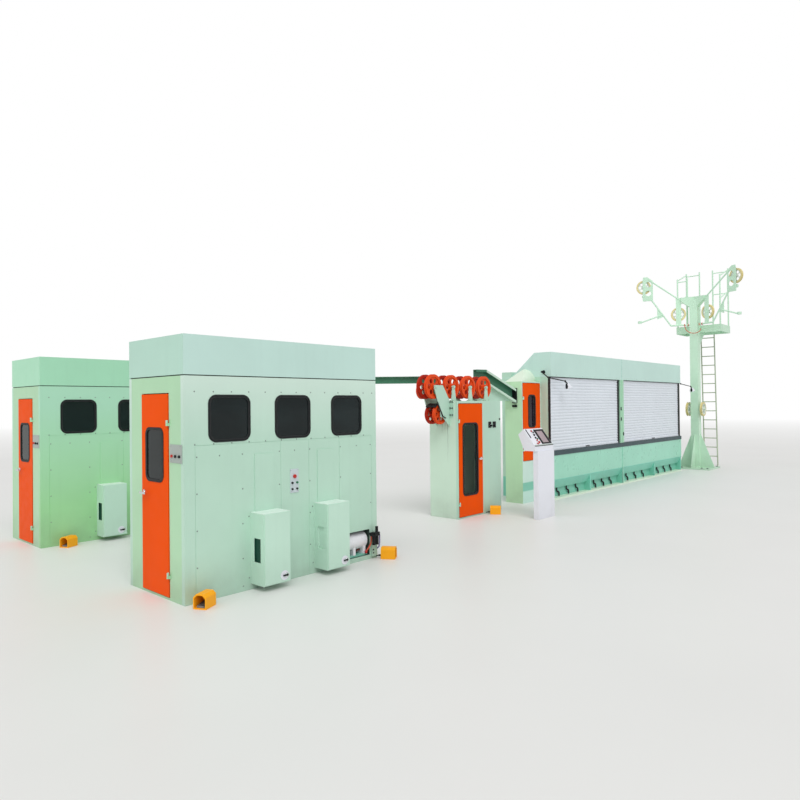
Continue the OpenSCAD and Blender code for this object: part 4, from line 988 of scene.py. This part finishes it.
stand_bolts()
stand_knobs()
sheave_guard()

# Housing fittings
HOUSE_X, HOUSE_Y = 7.480, 0.590
JOINT_X = 10.510
SHUTTERS = ((7.510, 10.340), (10.620, 13.940))
SHUTTER_LOW = 0.890
SLATS = 24
SLAT_H = 1.345 / SLATS
CLIP_GAP = 0.012
JOINT_SCREWS = [0.45 + 0.16 * i for i in range(3)] + [0.98 + 0.20 * i for i in range(7)] + [2.32, 2.47, 2.61]
HOOD_SCREWS = [HOUSE_X + 0.20 + 0.515 * i for i in range(13)]
HOOD_SCREW_Z = 2.262
HOUSE_SCREW_R = 0.006
STRIP_SEAT = 0.0078
POST_LATCHES = ((10.452, 1.620), (10.452, 1.400), (10.560, 1.080))
LATCH_HALF_X, LATCH_HALF_Z = 0.012, 0.035
LATCH_FACE = 0.578


def shutter_clips():
    """End clips that keep the slats in line, each shutter's bottom bar and grip, and a black strip at its top
    that is a seal and the painted shadow of the hood's overhang.
    """
    bag = Bag("shutter_clips", slot="shutter_paint")
    for x0, x1 in SHUTTERS:
        for i in range(SLATS):
            z = SHUTTER_LOW + SLAT_H * i
            low, high = z + CLIP_GAP, z + SLAT_H - CLIP_GAP
            for x in (x0 + 0.004, x1 - 0.034):
                bag.box(at_line(x, 0.6195, low), at_line(x + 0.030, 0.632, high), WHITE)
        bag.box(at_line(x0 + 0.002, 0.612, 0.893), at_line(x1 - 0.002, 0.640, 0.930), SLAT)
        # A black strip under the hood: a rubber lip, and painted shadow of the hood's overhang.
        bag.box(at_line(x0, 0.604, 2.222), at_line(x1, 0.622, 2.2348), BLACK)
        mid = (x0 + x1) / 2
        bag.box(at_line(mid - 0.075, 0.600, 0.905), at_line(mid + 0.075, 0.6125, 0.920), BLACK_PLASTIC)
    bag.done(0.0015)


def post_latches():
    """Black latches on the middle post and the shutter beside it."""
    bag = Bag("post_latches", slot="dark_paint")
    for x, z in POST_LATCHES:
        low = at_line(x - LATCH_HALF_X, LATCH_FACE, z - LATCH_HALF_Z)
        bag.box(low, at_line(x + LATCH_HALF_X, HOUSE_Y + SEAT, z + LATCH_HALF_Z), BLACK_PLASTIC)
        bag.rod(at_line(x, LATCH_FACE, z), at_line(x, LATCH_FACE - 0.012, z), 0.007, CHROME, 12)
    bag.done(0.002)


def housing_screws():
    """Screws along the joint strip and the hood's lower edge."""
    bag = Bag("housing_screws")
    for z in JOINT_SCREWS:
        bag.dome(at_line(JOINT_X, HOUSE_Y - STRIP_SEAT, z), (0, -1, 0), HOUSE_SCREW_R, BOLT)
    for x in HOOD_SCREWS:
        if abs(x - JOINT_X) > 0.05:
            bag.dome(at_line(x, HOUSE_Y + SEAT, HOOD_SCREW_Z), (0, -1, 0), HOUSE_SCREW_R, BOLT)
    bag.done()


shutter_clips()
post_latches()
housing_screws()

# Tower fittings
TOWER_X, TOWER_Y = 14.930, 0.500
ANCHOR_X = 0.390
ANCHOR_Y = (0.390, 0.250)
BASE_TOP = 0.035
ANCHOR_BOLT = (0.022, 0.020)
ARM_TURN = 115
CLAMP_LEVEL, CLAMP_R, CLAMP_W = 3.790, 0.030, 0.022
CLAMP_AT = (0.150, 0.235)
HOSE_STEPS = 12


def tower_bolts():
    """Anchor bolts of the tower's base plate."""
    bag = Bag("tower_anchor_bolts")
    for sx in (-1, 1):
        for sy in (-1, 1):
            for y in ANCHOR_Y:
                spot = at_line(TOWER_X + sx * ANCHOR_X, TOWER_Y + sy * y, BASE_TOP)
                hex_bolt(bag, spot, (0, 0, 1), *ANCHOR_BOLT)
    bag.done()


def tower_clamps():
    """Red clamps round the arms' lower bars, and the hose that hangs between them."""
    bag = Bag("tower_clamps", slot="rubber")
    for side in (-1, 1):
        a = math.radians(ARM_TURN) * side
        way = Vector((math.cos(a), math.sin(a), 0))
        foot = at_line(TOWER_X, TOWER_Y, CLAMP_LEVEL)
        for r in CLAMP_AT:
            bag.rod(foot + way * r, foot + way * (r + CLAMP_W), CLAMP_R, RED_HOSE, 16)
    points = []
    for i in range(HOSE_STEPS + 1):
        share = i / HOSE_STEPS
        bow = math.sin(math.pi * share)
        level = at_line(TOWER_X, TOWER_Y, 3.765 - 0.16 * bow - 0.10 * share)
        points.append(level + Vector((-0.150 - 0.020 * bow, 0.20 * math.cos(math.pi * share), 0)))
    bag.tube(points, HOSE_R, RED_HOSE)
    bag.done()


tower_bolts()
tower_clamps()

# Console fittings
DESK_LOW = at_line(0.0, -0.183, 1.100)
DESK_WAY = Vector((0.0, 0.200, 0.260))
# Plates on the slope: ends along the desk, shares of the slope, heights, material
PANEL_PLATES = ((5.620, 6.150, 0.030, 0.085, -0.001, 0.004, GREY_PLATE),
                # The black strip along the slope's lower edge is a painted shadow line below the grey strip.
                (5.616, 6.154, 0.003, 0.030, -0.001, 0.005, BLACK_PLASTIC),
                (5.862, 6.140, 0.110, 0.180, 0.0, 0.007, BLACK_PLASTIC),
                (5.862, 6.140, 0.840, 0.930, 0.0, 0.007, BLACK_PLASTIC),
                (5.862, 5.910, 0.180, 0.840, 0.0, 0.007, BLACK_PLASTIC),
                (6.088, 6.140, 0.180, 0.840, 0.0, 0.007, BLACK_PLASTIC),
                (5.910, 6.088, 0.180, 0.840, -0.001, 0.003, SCREEN),
                (5.644, 5.672, 0.480, 0.970, -0.001, 0.002, BLACK_PLASTIC))
# Buttons: place along the desk, share of the slope, radius, material
BUTTONS = ((5.777, 0.85, 0.014, RED_BUTTON), (5.806, 0.77, 0.013, BLACK_PLASTIC),
           (5.790, 0.63, 0.015, BLACK_PLASTIC), (5.779, 0.47, 0.015, BLACK_PLASTIC),
           (5.810, 0.40, 0.012, GREEN_BUTTON), (5.770, 0.32, 0.012, RED_BUTTON),
           (5.795, 0.21, 0.017, RED_BUTTON), (5.735, 0.15, 0.014, RED_BUTTON))
RING_T = 0.004
BUTTON_T = 0.016


def desk_matrix():
    """Local x along the desk, y up its slope and z out of it, from the slope's lower edge."""
    up = DESK_WAY.normalized()
    out = Vector((1, 0, 0)).cross(up)
    turn = Matrix((Vector((1, 0, 0)), up, out)).transposed().to_4x4()
    return Matrix.Translation(DESK_LOW) @ turn


def desk_panel():
    """The screen in its frame, the strips along the slope, and the buttons in their rings."""
    bag = Bag("console_panel", slot="dark_paint")
    place = desk_matrix()
    length = DESK_WAY.length
    out = place.to_3x3() @ Vector((0, 0, 1))
    for x0, x1, s0, s1, low, top, mat in PANEL_PLATES:
        bag.box((x0, s0 * length, low), (x1, s1 * length, top), mat, place)
    for x, s, r, mat in BUTTONS:
        foot = place @ Vector((x, s * length, 0.0))
        bag.rod(foot, foot + out * RING_T, r * 1.35, CHROME, 20)
        bag.rod(foot + out * RING_T, foot + out * BUTTON_T, r, mat, 20)
    bag.done(0.0015)


desk_panel()


GLAND_PATH = ((0.0825, 0.0, 0.030), (0.118, 0.0, 0.030), (0.150, 0.004, 0.022))
RIBS = 4
RIB_HALF = 0.0370


def switch_glands():
    """Cable gland, cable stub and treadle ribs of each foot switch."""
    bag = Bag("foot_switch_glands", slot="rubber")
    for spot in SWITCHES:
        place = switch_matrix(*spot)
        wall, gland, stub = (place @ Vector(p) for p in GLAND_PATH)
        bag.rod(wall, gland, 0.011, BLACK, 14)
        bag.rod(gland, stub, 0.006, BLACK, 12)
        for i in range(RIBS):
            x, z = -0.052 + 0.026 * i, 0.0270 + 0.0041 * i
            bag.box((x, -RIB_HALF, z), (x + 0.008, RIB_HALF, z + 0.003), BLACK, place)
    bag.done()


switch_glands()


# Stage, light and camera
FLOOR_MIDDLE = (-2.7, 1.9, 0.0)
FADE_FROM, FADE_TO = 16.0, 60.0
FLOOR_HALF = 260.0
FLOOR_DROP = 0.0005
SKY_STRENGTH = 0.62
KEY_LIGHT = (1.25, 35.0, (0.45, 0.75, -1.05))
FILL_LIGHT = (0.55, 60.0, (0.9, -0.2, -0.8))
CAMERA_AT = (-2.874, -5.222, 1.751)
CAMERA_TURN = (47.462, 0.426, -0.572)
FOCAL_PX, PHOTO_PX = 642.27, 800
SENSOR = 36.0


def make_floor():
    """A pale floor that fades to white away from the object, for camera rays alone."""
    mat, tree, shader = new_material("studio_floor")
    tone = remap(tree, noise(tree, 0.5, 3.0), 0.3, 0.7, 0.985, 1.01)
    tint(tree, shader, "e4e4e2", tone)
    shader.inputs["Roughness"].default_value = 0.42
    coord = add(tree, "ShaderNodeTexCoord")
    away = add(tree, "ShaderNodeVectorMath", {0: coord.outputs["Object"], 1: FLOOR_MIDDLE},
               operation="DISTANCE")
    fade = remap(tree, away.outputs["Value"], FADE_FROM, FADE_TO, 0.0, 1.0)
    seen = add(tree, "ShaderNodeLightPath").outputs["Is Camera Ray"]
    white = add(tree, "ShaderNodeEmission", {"Color": (1.0, 1.0, 1.0, 1.0), "Strength": 1.0})
    blend = add(tree, "ShaderNodeMixShader", {0: math_node(tree, "MULTIPLY", fade, seen)})
    tree.links.new(shader.outputs[0], blend.inputs[1])
    tree.links.new(white.outputs[0], blend.inputs[2])
    tree.links.new(blend.outputs[0], tree.nodes["Material Output"].inputs["Surface"])
    mesh = bpy.data.meshes.new("studio_floor")
    corners = [(x * FLOOR_HALF, y * FLOOR_HALF, -FLOOR_DROP) for x, y in ((-1, -1), (1, -1), (1, 1), (-1, 1))]
    mesh.from_pydata(corners, [], [(0, 1, 2, 3)])
    mesh.materials.append(mat)
    obj = bpy.data.objects.new("studio_floor", mesh)
    scene.collection.objects.link(obj)


make_floor()

world = bpy.data.worlds.new("studio")
scene.world = world
world.use_nodes = True
sky = world.node_tree
back = sky.nodes["Background"]
back.inputs["Color"].default_value = (1.0, 1.0, 1.0, 1.0)
path = add(sky, "ShaderNodeLightPath")
strength = math_node(sky, "MAXIMUM", path.outputs["Is Camera Ray"], SKY_STRENGTH)
sky.links.new(strength, back.inputs["Strength"])


def sun(name, power, angle, direction):
    """A soft light from far away, along a direction."""
    data = bpy.data.lights.new(name, "SUN")
    data.energy = power
    data.angle = math.radians(angle)
    lamp = bpy.data.objects.new(name, data)
    lamp.rotation_euler = Vector(direction).to_track_quat("-Z", "Y").to_euler()
    scene.collection.objects.link(lamp)


sun("key", *KEY_LIGHT)
sun("fill", *FILL_LIGHT)


def make_camera():
    """The photo's camera, fitted to the object."""
    yaw, pitch, roll = (math.radians(a) for a in CAMERA_TURN)
    forward = Vector((math.sin(yaw) * math.cos(pitch), math.cos(yaw) * math.cos(pitch), math.sin(pitch)))
    right = Vector((math.cos(yaw), -math.sin(yaw), 0.0))
    up = right.cross(forward)
    turned_right = right * math.cos(roll) + up * math.sin(roll)
    turned_up = up * math.cos(roll) - right * math.sin(roll)
    data = bpy.data.cameras.new("camera")
    data.sensor_width = SENSOR
    data.sensor_fit = "HORIZONTAL"
    data.lens = FOCAL_PX / PHOTO_PX * SENSOR
    data.clip_end = 600.0
    camera = bpy.data.objects.new("camera", data)
    basis = Matrix((turned_right, turned_up, -forward)).transposed().to_4x4()
    camera.matrix_world = Matrix.Translation(at_line(*CAMERA_AT)) @ basis
    scene.collection.objects.link(camera)
    scene.camera = camera


make_camera()
scene.view_settings.view_transform = "Standard"
